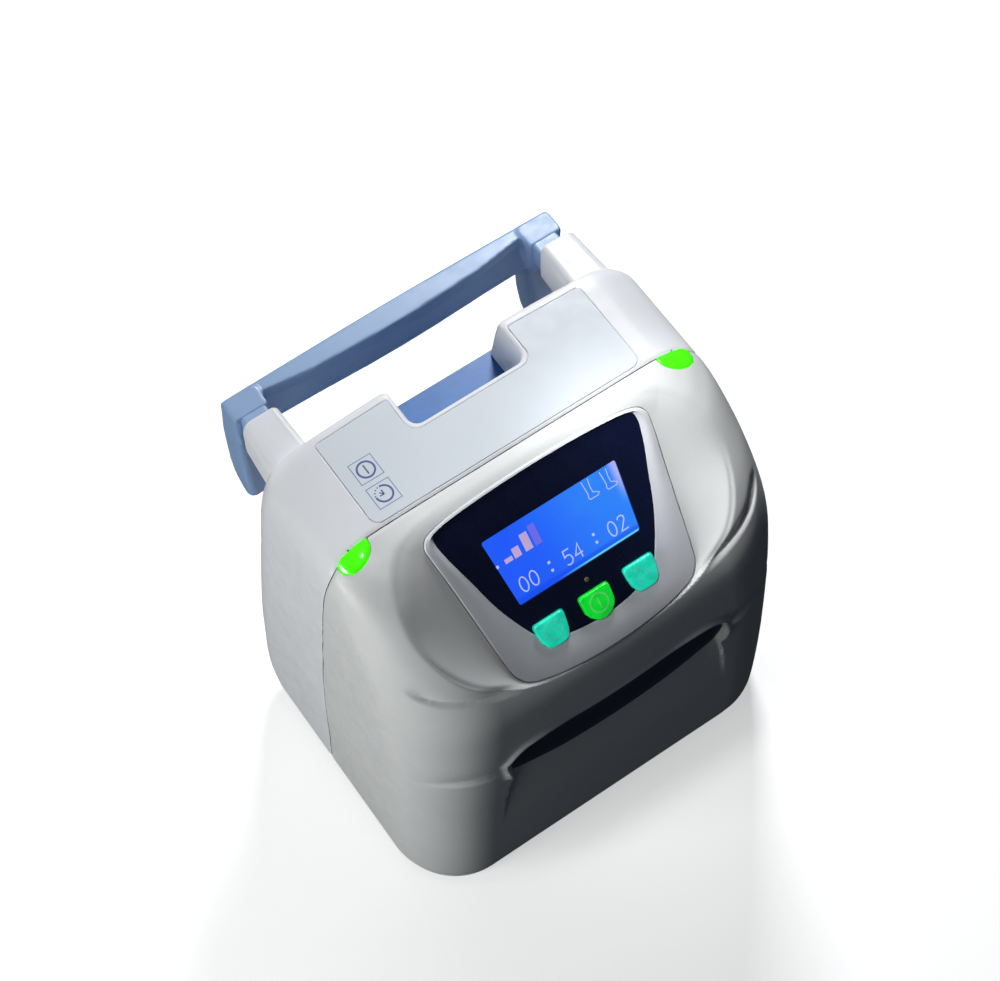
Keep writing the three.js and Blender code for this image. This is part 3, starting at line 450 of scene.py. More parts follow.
def turned(name, profile, centre, axis="z", n=48):
    """Turned body from (radius, height) pairs, closed by its first and last points."""
    a = 2 * math.pi * np.arange(n) / n
    prof = np.asarray(profile, float)
    levels = np.stack([np.stack([r * np.cos(a), r * np.sin(a), np.full(n, h)], -1) for r, h in prof])
    if axis == "y":
        levels = np.stack([levels[..., 0], levels[..., 2], levels[..., 1]], -1)[:, ::-1]
    levels = levels + np.asarray(centre, float)
    return rings(name, levels)


def inside_out(ob):
    """Turns the faces outwards."""
    import bmesh
    bm = bmesh.new()
    bm.from_mesh(ob.data)
    if bm.calc_volume(signed=True) < 0:
        bmesh.ops.reverse_faces(bm, faces=bm.faces)
        bm.to_mesh(ob.data)
    bm.free()
    return ob


def drop(*obs):
    for o in obs:
        me = o.data
        bpy.data.objects.remove(o, do_unlink=True)
        if me.users == 0:
            bpy.data.meshes.remove(me)


def cut(base, tools, op="DIFFERENCE", keep=False):
    """Boolean of base with each tool in turn."""
    inside_out(base)
    for t in tools:
        inside_out(t)
        m = base.modifiers.new("cut", "BOOLEAN")
        m.operation, m.object, m.solver = op, t, "MANIFOLD"
    bpy.context.view_layer.update()
    dg = bpy.context.evaluated_depsgraph_get()
    me = bpy.data.meshes.new_from_object(base.evaluated_get(dg))
    old = base.data
    base.modifiers.clear()
    base.data = me
    bpy.data.meshes.remove(old)
    if not keep:
        drop(*tools)
    if len(me.vertices) == 0:
        raise RuntimeError(f"{base.name}: nothing left after a cut")
    return base


def apply_modifiers(ob):
    bpy.context.view_layer.update()
    dg = bpy.context.evaluated_depsgraph_get()
    me = bpy.data.meshes.new_from_object(ob.evaluated_get(dg))
    old = ob.data
    ob.modifiers.clear()
    ob.data = me
    bpy.data.meshes.remove(old)
    return ob


def piece(ob, material, body="pump_body", replaces=(), sharp=42.0, weighted=False, smooth=True):
    """Finishes a piece: metres, material, smooth shading, body."""
    me = ob.data
    me.transform(TO_FRAME)
    me.materials.clear()
    me.materials.append(material)
    me.polygons.foreach_set("use_smooth", [smooth] * len(me.polygons))
    if smooth and sharp:
        me.set_sharp_from_angle(angle=math.radians(sharp))
    me.update()
    if weighted:
        m = ob.modifiers.new("normals", "WEIGHTED_NORMAL")
        m.keep_sharp = True
        m.weight = 80
    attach(ob, body)
    if replaces:
        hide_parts(*replaces)
    return ob


# ------------------------------------------------------------------ materials
def lin(r, g, b):
    def f(c):
        c /= 255
        return c / 12.92 if c <= 0.04045 else ((c + 0.055) / 1.055) ** 2.4
    return (f(r), f(g), f(b), 1.0)


def scaled(c, k):
    return (min(c[0] * k, 1), min(c[1] * k, 1), min(c[2] * k, 1), 1.0)


class Nodes:
    """Short hand for building a node tree."""

    def __init__(self, name):
        self.mat = bpy.data.materials.new(name)
        self.mat.use_nodes = True
        self.tree = self.mat.node_tree
        self.tree.nodes.clear()
        self.out = self.tree.nodes.new("ShaderNodeOutputMaterial")
        self.bsdf = self.tree.nodes.new("ShaderNodeBsdfPrincipled")
        self.link(self.bsdf.outputs["BSDF"], self.out.inputs["Surface"])
        self.coord = self.tree.nodes.new("ShaderNodeTexCoord").outputs["Object"]

    def link(self, a, b):
        self.tree.links.new(a, b)

    def set(self, **values):
        for k, v in values.items():
            self.bsdf.inputs[k.replace("_", " ")].default_value = v

    def noise(self, scale, detail=3.0, rough=0.55, coord=None, distort=0.0, stretch=None):
        n = self.tree.nodes.new("ShaderNodeTexNoise")
        n.inputs["Scale"].default_value = scale
        n.inputs["Detail"].default_value = detail
        n.inputs["Roughness"].default_value = rough
        n.inputs["Distortion"].default_value = distort
        c = coord or self.coord
        if stretch:
            m = self.tree.nodes.new("ShaderNodeMapping")
            m.inputs["Scale"].default_value = stretch
            self.link(c, m.inputs["Vector"])
            c = m.outputs["Vector"]
        self.link(c, n.inputs["Vector"])
        return n.outputs["Fac"]

    def math(self, op, a, b=None, c=None, clamp=False):
        n = self.tree.nodes.new("ShaderNodeMath")
        n.operation, n.use_clamp = op, clamp
        for i, s in enumerate((a, b, c)):
            if s is None:
                continue
            if isinstance(s, (int, float)):
                n.inputs[i].default_value = s
            else:
                self.link(s, n.inputs[i])
        return n.outputs[0]

    def span(self, x, a, b, lo=0.0, hi=1.0, kind="SMOOTHSTEP"):
        n = self.tree.nodes.new("ShaderNodeMapRange")
        n.interpolation_type = kind
        self.link(x, n.inputs["Value"])
        for k, v in (("From Min", a), ("From Max", b), ("To Min", lo), ("To Max", hi)):
            n.inputs[k].default_value = v
        return n.outputs["Result"]

    def mix(self, fac, a, b):
        n = self.tree.nodes.new("ShaderNodeMix")
        n.data_type = "RGBA"
        if isinstance(fac, (int, float)):
            n.inputs[0].default_value = fac
        else:
            self.link(fac, n.inputs[0])
        for s, v in ((6, a), (7, b)):
            if isinstance(v, tuple):
                n.inputs[s].default_value = v
            else:
                self.link(v, n.inputs[s])
        return n.outputs[2]

    def dot(self, vec):
        n = self.tree.nodes.new("ShaderNodeVectorMath")
        n.operation = "DOT_PRODUCT"
        self.link(self.coord, n.inputs[0])
        n.inputs[1].default_value = vec
        return n.outputs["Value"]

    def bump(self, height, distance, strength=1.0, normal=None):
        n = self.tree.nodes.new("ShaderNodeBump")
        n.inputs["Distance"].default_value = distance
        n.inputs["Strength"].default_value = strength
        self.link(height, n.inputs["Height"])
        if normal is not None:
            self.link(normal, n.inputs["Normal"])
        return n.outputs["Normal"]

    def pointiness(self):
        return self.tree.nodes.new("ShaderNodeNewGeometry").outputs["Pointiness"]


def plastic(name, base, rough=0.4, grain=2400.0, depth=0.000035, vary=0.05, worn=1.08, metal=0.0, coat=0.0, coat_rough=0.1,
            rough_vary=0.06, flake=0.0, ior=1.5, sheen=0.0, subsurface=0.0):
    """Moulded plastic: fine spark-eroded grain, slow tone changes, handled edges."""
    n = Nodes(name)
    slow = n.noise(14.0, 3.0)
    fine = n.noise(grain, 2.5, 0.6)
    mid = n.noise(190.0, 4.0, 0.6)
    tone = n.mix(n.span(slow, 0.3, 0.7), scaled(base, 1 - vary), scaled(base, 1 + vary * 0.6))
    if flake:
        tone = n.mix(n.span(n.noise(grain * 1.7, 1.0), 0.58, 0.72), tone, scaled(base, 1 + flake))
    edge = n.span(n.pointiness(), 0.53, 0.60)
    tone = n.mix(n.math("MULTIPLY", edge, n.span(mid, 0.40, 0.62)), tone, scaled(base, worn))
    n.link(tone, n.bsdf.inputs["Base Color"])
    r = n.math("ADD", n.span(mid, 0.3, 0.7, rough - rough_vary, rough + rough_vary), n.span(n.noise(60.0, 5.0, 0.7, stretch=(1, 5, 1)), 0.55, 0.8, 0, rough_vary * 0.7))
    n.link(r, n.bsdf.inputs["Roughness"])
    h = n.math("ADD", fine, n.math("MULTIPLY", mid, 0.35))
    n.link(n.bump(h, depth, 1.0), n.bsdf.inputs["Normal"])
    n.set(Metallic=metal, IOR=ior)
    if coat:
        n.bsdf.inputs["Coat Weight"].default_value = coat
        n.bsdf.inputs["Coat Roughness"].default_value = coat_rough
    if subsurface:
        n.bsdf.inputs["Subsurface Weight"].default_value = subsurface
        n.bsdf.inputs["Subsurface Radius"].default_value = (0.004, 0.004, 0.004)
        n.bsdf.inputs["Subsurface Scale"].default_value = 1.0
    return n.mat


def glowing(name, base, glow, strength, rough=0.25, coat=0.6, depth=0.00001, patch=0.25):
    """Coloured translucent plastic lit from behind, brighter in the middle of its patches."""
    n = Nodes(name)
    slow = n.noise(160.0, 2.0)
    n.link(n.mix(n.span(slow, 0.35, 0.65), scaled(base, 1 - patch * 0.4), scaled(base, 1 + patch * 0.3)), n.bsdf.inputs["Base Color"])
    n.link(n.mix(n.span(slow, 0.35, 0.68), scaled(glow, 1 - patch), glow), n.bsdf.inputs["Emission Color"])
    n.bsdf.inputs["Emission Strength"].default_value = strength
    n.link(n.span(n.noise(400.0, 3.0), 0.3, 0.7, rough - 0.05, rough + 0.05), n.bsdf.inputs["Roughness"])
    n.link(n.bump(n.noise(1500.0, 2.0), depth), n.bsdf.inputs["Normal"])
    n.bsdf.inputs["Coat Weight"].default_value = coat
    n.bsdf.inputs["Coat Roughness"].default_value = 0.08
    return n.mat


WHITE = plastic("shell_white", lin(226, 228, 232), rough=0.42, vary=0.025, worn=1.04, coat=0.0)
SILVER = plastic("shell_silver", lin(215, 217, 217), rough=0.40, vary=0.035, worn=1.06, metal=0.0, flake=0.10, depth=0.00004)
BLUE = plastic("hook_blue", lin(138, 167, 206), rough=0.38, vary=0.05, worn=1.12, depth=0.00003)
COVER = plastic("cover_blue", lin(40, 106, 176), rough=0.34, vary=0.05, worn=1.10, depth=0.00003)
LABEL = plastic("label_film", lin(211, 219, 227), rough=0.46, vary=0.02, worn=1.03, grain=3200.0, depth=0.000012)
BEZEL_MAT = plastic("bezel_silver", lin(218, 220, 226), rough=0.36, vary=0.03, worn=1.03, metal=0.10, flake=0.10, depth=0.00003)
NAVY = plastic("overlay_navy", lin(12, 20, 50), rough=0.30, vary=0.10, worn=1.3, grain=2600.0, depth=0.000012, coat=0.35, coat_rough=0.16, flake=0.8)
INLAY = plastic("inlay_navy", lin(34, 46, 70), rough=0.34, vary=0.12, worn=1.5, depth=0.00003)
RUBBER = plastic("rubber_black", lin(30, 31, 33), rough=0.80, vary=0.12, worn=1.5, grain=1500.0, depth=0.00006)
BLACK = plastic("plastic_black", lin(26, 27, 30), rough=0.45, vary=0.10, worn=1.6, depth=0.00004)
STEEL = plastic("steel", lin(186, 189, 194), rough=0.30, vary=0.05, worn=1.15, metal=1.0, grain=900.0, depth=0.00001, rough_vary=0.08)
ALLOY = plastic("alloy", lin(196, 199, 204), rough=0.36, vary=0.05, worn=1.12, metal=1.0, grain=1600.0, depth=0.00002, rough_vary=0.08)
BRASS = plastic("brass", lin(205, 166, 84), rough=0.30, vary=0.06, worn=1.12, metal=1.0, grain=900.0, depth=0.00001, rough_vary=0.08)
TUBING = plastic("tubing", lin(222, 228, 226), rough=0.28, vary=0.03, worn=1.02, depth=0.00001, subsurface=0.25)
PACK = plastic("pack_blue", lin(44, 60, 92), rough=0.5, vary=0.08, worn=1.3, depth=0.00003)
TEAL = glowing("key_teal", lin(34, 205, 176), lin(30, 222, 186), 0.60, rough=0.30, coat=0.5)
GREEN = glowing("key_green", lin(18, 205, 52), lin(16, 230, 54), 0.62, rough=0.30, coat=0.5)
LAMP = glowing("lamp_green", lin(70, 214, 16), lin(66, 248, 8), 0.80, rough=0.20, coat=0.8, patch=0.25)
MARK_TEAL = glowing("mark_teal", lin(95, 215, 190), lin(95, 215, 190), 0.30, rough=0.4, coat=0.0)
MARK_GREEN = glowing("mark_green", lin(110, 226, 120), lin(96, 226, 110), 0.40, rough=0.4, coat=0.0)
DIGIT = glowing("screen_digit", lin(60, 70, 120), lin(186, 198, 255), 0.92, rough=0.35, coat=0.0, patch=0.05)
BAR = glowing("screen_bar", lin(60, 60, 100), lin(196, 170, 214), 0.92, rough=0.35, coat=0.0, patch=0.05)
BAR_DIM = glowing("screen_bar_dim", lin(40, 40, 100), lin(112, 110, 238), 0.92, rough=0.35, coat=0.0, patch=0.05)
INK = plastic("ink_dark", lin(58, 88, 150), rough=0.5, vary=0.06, worn=1.0, depth=0.00001)
INK_PALE = plastic("ink_pale", lin(98, 134, 182), rough=0.5, vary=0.06, worn=1.0, depth=0.00001)
AMBER = glowing("status_dark", lin(96, 84, 80), lin(120, 96, 84), 0.10, rough=0.3, coat=0.4)


def board():
    n = Nodes("board_green")
    green = lin(26, 92, 52)
    lines = n.noise(420.0, 1.0, 0.4, stretch=(1, 1, 6))
    n.link(n.mix(n.span(lines, 0.52, 0.56), green, scaled(green, 1.8)), n.bsdf.inputs["Base Color"])
    n.link(n.span(n.noise(300.0), 0.3, 0.7, 0.35, 0.5), n.bsdf.inputs["Roughness"])
    n.link(n.bump(lines, 0.00004), n.bsdf.inputs["Normal"])
    return n.mat


def screen():
    """Back-lit blue display: deeper at the left, paler at the right, with a bright lower edge."""
    n = Nodes("screen_blue")
    x = n.dot((1, 0, 0))
    v = n.math("SUBTRACT", n.dot((0, ST, CT)), (-0.001 * Y_CENTRE) * ST + 0.001 * PANEL_Z * CT)
    deep, pale = lin(34, 92, 255), lin(52, 140, 255)
    c = n.mix(n.span(n.math("ADD", x, n.math("MULTIPLY", v, 0.25)), -0.020, 0.026), deep, pale)
    c = n.mix(n.math("MULTIPLY", n.span(n.noise(60.0, 2.0), 0.35, 0.65), 0.25), c, lin(38, 104, 255))
    c = n.mix(n.math("MULTIPLY", n.span(v, -0.0118, -0.0135), 0.55), c, lin(20, 70, 235))
    edge = n.span(v, -0.01425, -0.01470)
    c = n.mix(n.math("MULTIPLY", edge, n.span(x, -0.012, 0.010)), c, lin(110, 225, 255))
    glare = n.math("MULTIPLY", n.span(x, 0.0265, 0.0305), n.span(v, -0.004, 0.010))
    c = n.mix(n.math("MULTIPLY", glare, 0.75), c, lin(196, 200, 255))
    n.link(c, n.bsdf.inputs["Emission Color"])
    n.bsdf.inputs["Emission Strength"].default_value = 0.93
    n.bsdf.inputs["Base Color"].default_value = lin(10, 22, 60)
    n.link(n.span(n.noise(900.0), 0.3, 0.7, 0.20, 0.26), n.bsdf.inputs["Roughness"])
    n.link(n.bump(n.noise(1800.0), 0.000004), n.bsdf.inputs["Normal"])
    return n.mat


BOARD, SCREEN = board(), screen()


# ------------------------------------------------------------------ casing bodies
z_rows = np.concatenate([[12, 12.3, 12.8, 13.6, 15, 18], np.arange(21, 84, 3.0), np.arange(84, 141, 0.8), np.arange(141.2, 150, 1.1), rows_by_length(150.4, 218.0, 0.8)])
base_grid = section(z_rows)
casing_grid = sculpt(base_grid, grid_normals(base_grid))
top_ring = casing_grid[-1]
inner_ring = top_ring.copy()
inner_ring[:, :2] = (top_ring[:, :2] - np.array([0, 57.0])) * 0.985 + np.array([0, 57.0])
casing_grid = np.concatenate([casing_grid, inner_ring[None]])
casing_grid = casing_grid.astype(float)


def master(name):
    return inside_out(rings(name, casing_grid, "ngon", "ngon"))


def cavity(name):
    lv = np.array([9, 45, 80, 110, 140, 155, 168, 178, 187, 195, 203, 208, 212, 215.4])
    g = section(np.clip(lv, 12, 214.5), WALL, dict(front=20, corner=10, side=10, rear_corner=6, rear=12))
    g[..., 2] = lv[:, None]
    return rings(name, g, "ngon", "ngon")


def parting_half(front):
    zs = np.concatenate([np.arange(-5, 195, 6.0), np.arange(195, 221, 1.0), [240]])
    yp = table(PARTING, zs)
    off = -0.26 if front else 0.26
    far = -90 if front else 190
    o = np.concatenate([np.stack([yp + off, zs], -1), [[far, 240], [far, -5]]])
    return prism("half", o, -130, 130, lambda a, b, c: np.stack([c, a, b], -1))


def panel_prism(name, outline, w0, w1):
    return prism(name, outline, w0, w1, on_panel)


def polar_outline(radius, angles=None):
    a = ANG[:-1:3]
    r = np.interp(a, ANG, radius)
    return np.stack([r * np.cos(a), CENTRE_V + r * np.sin(a)], -1)


def lens_outline(side, grow=0.0, n=7):
    p = smooth_line(LENS, n)
    c = np.array([75.2, 30.6])
    d = p - c
    p = p + d / np.linalg.norm(d, axis=1)[:, None] * grow
    # the straight rear edge lies along the parting line
    p[0, 1] = p[-1, 1] = max(p[0, 1], p[-1, 1])
    p = np.vstack([[p[0, 0], 36.5], p, [p[-1, 0], 36.5]])
    p[:, 0] *= side
    return p


def xz_prism(name, outline, y0, y1):
    return prism(name, outline, y0, y1, lambda a, b, c: np.stack([a, c, b], -1))


cav = cavity("cavity_front")
cut(cav, [panel_prism("behind", rounded(-120, 120, -160, 120, 2), -7, 73), box_body("pad", -60, 60, -45, -30.6, 82, 130)])
front = master("casing_front")
cut(front, [parting_half(True)], "INTERSECT")
cut(front, [cav])
cut(front, [panel_prism("seat", polar_outline(R_BEZEL + 0.40), -2.9, 40)])
cut(front, [panel_prism("window", rounded(-34, 34, -19, 19, 2), -14, 6), panel_prism("keys", rounded(-31, 31, -38.5, -21.5, 3), -14, 6)])
cut(front, [prism("lens", lens_outline(1, 0.25), 190, 240), prism("lens", lens_outline(-1, 0.25), 190, 240)])
cut(front, [xz_prism("pocket", GROOVE_LINE[::2], -60, -33.2)])
piece(front, SILVER, replaces=["front_shell"], sharp=38)


def notch_cutter():
    r_top, r_edge = 1.5, 2.6
    lv = [(NOTCH_FLOOR + 0.3, 0.0), (192, 0.0), (200, 0.0), (208, 0.0), (213, 0.0)]
    for k in range(9):
        a = math.pi / 2 * k / 8
        lv.append((TOP_Z - r_top + r_top * math.sin(a), r_top - r_top * math.cos(a)))
    lv.append((TOP_Z + 6, r_top))
    rows = []
    for z, o in lv:
        yb = float(table(B_OF_Z, min(z, TOP_Z)))
        if z >= TOP_Z - 0.01:
            yb = float(table(B_OF_Z, TOP_Z))
        yb += float(rear_bow(NOTCH_HALF + 2.6, z))
        x, rc = NOTCH_HALF + o, 4.4 + o
        yf = NOTCH_Y - o
        right = [(x + r_edge + 2, 150), (x + r_edge + 2, yb + 3), (x + r_edge, yb)]
        for k in range(1, 9):
            a = math.radians(90 + 90 * k / 8)
            right.append((x + r_edge + r_edge * math.cos(a), yb - r_edge + r_edge * math.sin(a)))
        for k in range(0, 11):
            a = math.radians(0 - 90 * k / 10)
            right.append((x - rc + rc * math.cos(a), yf + rc + rc * math.sin(a)))
        left = [(-px, py) for px, py in reversed(right)]
        rows.append([(px, py, z) for px, py in right + left])
    return rings("notch", rows, "ngon", "ngon")


def label_outline(grow=0.0):
    r, hx, y0, y1 = 4.2, 62.0, 36.2, 78.2
    n, yn, rn = NOTCH_HALF + 2.3, NOTCH_Y - 2.3, 5.6
    pts = []

    def arc(cx, cy, rr, a0, a1, k=9):
        for i in range(k + 1):
            a = math.radians(a0 + (a1 - a0) * i / k)
            pts.append((cx + rr * math.cos(a), cy + rr * math.sin(a)))

    g = grow
    arc(hx - r, y0 + r, r + g, -90, 0)
    arc(hx - 1.2, y1 - 1.2, 1.2 + g, 0, 90, 5)
    arc(n + 1.2, y1 - 1.2, 1.2 + g, 90, 180, 5)
    arc(n - rn, yn + rn, rn - g, 0, -90)
    arc(-n + rn, yn + rn, rn - g, -90, -180)
    arc(-n - 1.2, y1 - 1.2, 1.2 + g, 0, 90, 5)
    arc(-hx + 1.2, y1 - 1.2, 1.2 + g, 90, 180, 5)
    arc(-hx + r, y0 + r, r + g, 180, 270)
    pts = np.array(pts)
    pts[:, 1] += 1.5 * np.clip(1 - (pts[:, 0] / 64) ** 2, 0, 1) * (pts[:, 1] > 74)
    return pts


def label_recess():
    """Shallow seat for the label film, with a rolled rim."""
    lv = [(TOP_Z - 0.45, 0.15), (TOP_Z - 0.30, 0.15)]
    for k in range(7):
        a = math.pi / 2 * k / 6
        lv.append((TOP_Z - 0.30 + 0.30 * math.sin(a), 0.15 + 0.42 * (1 - math.cos(a))))
    lv.append((TOP_Z + 3, 0.57))
    return rings("recess", [np.column_stack([label_outline(g) + (-0.13, -0.13), np.full(len(label_outline(g)), z)]) for z, g in lv], "ngon", "ngon")


STEM = dict(x0=65.6, x1=74.6, z0=191.5, z1=200.5)


def stem_hole(side, d=0.6):
    a, b = side * (STEM["x0"] - d), side * (STEM["x1"] + d)
    return xz_prism("stem", rounded(min(a, b), max(a, b), STEM["z0"] - d, STEM["z1"] + d, 1.6), 50, 140)


cav = cavity("cavity_rear")
cut(cav, [box_body("pocket", -NOTCH_HALF - 2.8, NOTCH_HALF + 2.8, NOTCH_Y - 2.8, 130, 160, 230)])
rear = master("casing_rear")
cut(rear, [parting_half(False)], "INTERSECT")
cut(rear, [cav])
cut(rear, [box_body("cover", -58.3, 58.3, 80, 130, 21.7, 186.3), box_body("ledge", -29.4, 29.4, 60.3, 130, 150, 186.3)])
cut(rear, [notch_cutter(), label_recess()])
cut(rear, [stem_hole(1), stem_hole(-1)])
piece(rear, WHITE, replaces=["rear_shell"], sharp=38, weighted=True)

def seam_painted_shade():
    """Black strip a little below the surface in the joint between the two halves: painted shade standing in for the
    shadow in the gap.
    """
    def body(name, d):
        lv = np.array([13.5, 45, 80, 110, 140, 155, 168, 178, 187, 195, 203, 208, 211, 213.5, 215.2, 216.3, TOP_Z - d])
        g = section(np.clip(lv + 0.6 * d * step(200, 214, lv), 12, 217.9), d, dict(front=20, corner=14, side=60, rear_corner=8, rear=20))
        g[..., 2] = lv[:, None]
        return rings(name, g, "ngon", "ngon")
    zs = np.concatenate([np.arange(-5, 195, 6.0), np.arange(195, 221, 1.0), [240]])
    yp = table(PARTING, zs)
    o = np.concatenate([np.stack([yp - 0.2, zs], -1), np.stack([yp + 0.2, zs], -1)[::-1]])
    ob = body("seam_painted_shade", 0.85)
    cut(ob, [prism("slab", o, -130, 130, lambda a, b, c: np.stack([c, a, b], -1))], "INTERSECT")
    return cut(ob, [body("core", 2.3)])


# black strip in the parting joint: painted shade that darkens the gap between the halves
piece(seam_painted_shade(), BLACK, sharp=40)

# rear cover with its ledge under the hand notch
cover = master("rear_panel")
cut(cover, [cavity("cavity_cover")])
cut(cover, [box_body("block", -58, 58, 80.3, 130, 22, 186)], "INTERSECT")
cut(cover, [box_body("shelf", -29.1, 29.1, 60.6, 88.4, 183, 186)], "UNION")
holes = [turned("port", [(7.3, 90), (7.3, 130)], (x, 0, 62), "y") for x in (13, 35)]
holes.append(xz_prism("inlet", rounded(-48.3, -19.7, 49.7, 74.3, 1.5), 90, 130))
for i in range(5):
    holes.append(xz_prism("slot", rounded(-44, 44, 138 + 7 * i, 141 + 7 * i, 1.4), 80, 130))
cut(cover, holes)
piece(cover, COVER, replaces=["rear_cover"], sharp=38, weighted=True)

# label film on the top
lab = rings("top_label", [np.column_stack([label_outline(g), np.full(len(label_outline(g)), z)]) for z, g in
                          ((TOP_Z - 0.44, -0.02), (TOP_Z - 0.10, -0.02), (TOP_Z - 0.03, -0.06), (TOP_Z, -0.16), (TOP_Z, -0.6))], "ngon", "ngon")
piece(inside_out(lab), LABEL, replaces=["label_plate"], sharp=30, weighted=True)


# ------------------------------------------------------------------ sleeves that carry the bed hook
SLEEVE = np.array([[68, 60.4, 81.6, 184.3, 212.2], [76, 61.1, 81.1, 184.9, 212.0], [84, 61.7, 80.5, 185.5, 211.8], [90, 61.9, 80.1, 186.3, 211.6],
                   [96, 62.1, 79.7, 187.1, 211.5], [106, 62.3, 79.1, 188.6, 211.3]])


def sleeve(side):
    ys = np.concatenate([np.linspace(68, 104.2, 34), 106 - 1.8 * (1 - np.sin(np.linspace(0.12, 1, 8) * math.pi / 2)), [106.0, 106.0]])
    inset = np.zeros(len(ys))
    inset[34:42] = 1.8 * (1 - np.cos(np.linspace(0.12, 1, 8) * math.pi / 2))
    inset[42:] = [2.4, 3.2]
    rows = []
    a = 2 * math.pi * np.arange(72) / 72
    for y, d in zip(ys, inset):
        x0, x1, z0, z1 = (float(table(SLEEVE[:, [0, k]], y)) for k in (1, 2, 3, 4))
        n = 7.0
        cx, cz, hx, hz = (x0 + x1) / 2, (z0 + z1) / 2, (x1 - x0) / 2 - d, (z1 - z0) / 2 - d
        c, s = np.cos(a), np.sin(a)
        px = cx + hx * np.sign(c) * np.abs(c) ** (2 / n)
        pz = cz + hz * np.sign(s) * np.abs(s) ** (2 / n)
        # the top is barrel shaped, falling off towards the outer side
        t = (px - cx) / hx
        pz = pz - np.where(pz > cz, 1.9 * np.clip((t - 0.45) / 0.55, 0, 1) ** 1.6 + 0.5 * np.clip((-t - 0.7) / 0.3, 0, 1) ** 2 - 0.35 * np.exp(-(((t + 0.72) / 0.16) ** 2)), 0)
        rows.append(np.column_stack([side * px, np.full(72, y), pz]))
    ob = inside_out(rings("sleeve_right" if side > 0 else "sleeve_left", rows, "ngon", "ngon"))
    return cut(ob, [stem_hole(side), box_body("pin_room", *sorted((side * 62.15, side * 78.1)), 60, 84.0, 193.6, 198.4)])


for s, name in ((1, "arm_sleeve_right"), (-1, "arm_sleeve_left")):
    piece(sleeve(s), WHITE, replaces=[name], sharp=40, weighted=True)


# ------------------------------------------------------------------ bed hook, which is also the carrying handle
def hook_bar():
    xs = np.concatenate([np.linspace(-78.2, -58, 12), np.linspace(-56, 56, 57), np.linspace(58, 78.2, 12)])
    rows = []
    for x in xs:
        yi = float(np.interp(abs(x), [0, 18, 40, 62.4, 64.6, 80], [114.2, 114.5, 115.5, 118.6, 112.4, 112.4]))
        yl = float(np.interp(abs(x), [0, 18, 40, 62.4, 64.6, 80], [114.2, 114.5, 115.3, 115.8, 112.4, 112.4]))
        yr = 125.3 - 0.9 * (abs(x) / 80) ** 2
        zt = 202.4 - 0.3 * (abs(x) / 80) ** 2
        rows.append([(x, yi + 0.2, zt), (x, yr - 0.6, zt - 0.2), (x, yr, zt - 2.4), (x, yr - 0.6, 187.4), (x, yr - 2.4, 184.3),
                     (x, yl - 0.6, 184.3), (x, yl - 1.7, 186.0), (x, yl - 1.2, 188.4), (x, yi + 1.3, 194.6), (x, yi + 0.4, 199.6)])
    return inside_out(rings("bar", rows, "ngon", "ngon"))


def hook_leg(side):
    zs = np.array([131.5, 131.7, 132.3, 133.4, 135, 137.5, 141, 146, 155, 165, 180, 192, 199, 201.4, 202.4, 202.8])
    y0 = np.interp(zs, [131.5, 132.3, 135, 138, 150, 203], [118.4, 116.2, 114.4, 113.4, 112.3, 112.2])
    y1 = np.interp(zs, [131.5, 132.3, 134.6, 141, 155, 180, 200, 202.8], [120.6, 122.4, 124.2, 126.4, 127.2, 126.6, 124.9, 123.2])
    x0 = np.interp(zs, [131.5, 150, 178, 203], [66.8, 64.4, 62.5, 62.5])
    x1 = np.interp(zs, [131.5, 150, 178, 203], [76.9, 78.4, 78.9, 78.5])
    rows = []
    for z, a, b, c, d in zip(zs, x0, x1, y0, y1):
        r = min(2.4, (d - c) / 2 - 0.1)
        o = rounded(a, b, c, d, r, 5)
        ridge = np.exp(-(((o[:, 0] - (a * 0.45 + b * 0.55)) / 3.0) ** 2)) * (o[:, 1] < (c + d) / 2)
        o[:, 1] -= 0.5 * ridge * float(step(200, 188, z))
        o[:, 0] *= side
        rows.append(np.column_stack([o, np.full(len(o), z)]))
    return inside_out(rings("leg", rows, "ngon", "ngon"))


hook = hook_bar()
cut(hook, [hook_leg(1), hook_leg(-1)], "UNION")
m = hook.modifiers.new("remesh", "REMESH")
m.mode, m.voxel_size = "VOXEL", 0.6
m = hook.modifiers.new("smooth", "SMOOTH")
m.factor, m.iterations = 0.5, 9
apply_modifiers(hook)
hook.name = "hook_body"
piece(hook, BLUE, body="hook", replaces=["bed_hook"], sharp=0)


def neck(side):
    """Stepped neck between the sleeve and the hook."""
    rows = []
    for y, d in ((106.3, 0.5), (106.6, 0.5), (107.0, 0.1), (107.3, 0.0), (110.0, 0.0), (112.4, 0.0), (113.6, 0.2)):
        o = rounded(64.0 + d, 75.6 - d, 189.6 + d, 202.6 - d, 1.3, 8)
        o[:, 0] *= side
        o = o if side > 0 else o[::-1]
        rows.append(np.column_stack([o[:, 0], np.full(len(o), y), o[:, 1]]))
    ob = inside_out(rings("neck_right" if side > 0 else "neck_left", rows, "ngon", "ngon"))
    return cut(ob, [xz_prism("stem", rounded(*sorted((side * 65.3, side * 74.9)), 191.2, 200.8, 1.4), 90, 130)])


for s, name in ((1, "hook_collar_right"), (-1, "hook_collar_left")):
    piece(neck(s), BLUE, body="hook", replaces=[name], sharp=40, weighted=True)


# ------------------------------------------------------------------ display
def panel_rings(name, rows, cap0="ngon", cap1="ngon", bent=True):
    """rows: (radius per angle, height per angle) about the middle of the panel."""
    a = ANG[:-1:3]
    out = []
    for r, w in rows:
        r = np.interp(a, ANG, r) if np.ndim(r) else np.full(len(a), float(r))
        x, v = r * np.cos(a), CENTRE_V + r * np.sin(a)
        ww = np.broadcast_to(np.asarray(w, float), a.shape) + (bend(v) if bent else 0)
        out.append(on_panel(x, v, ww))
    return inside_out(rings(name, out, cap0, cap1))


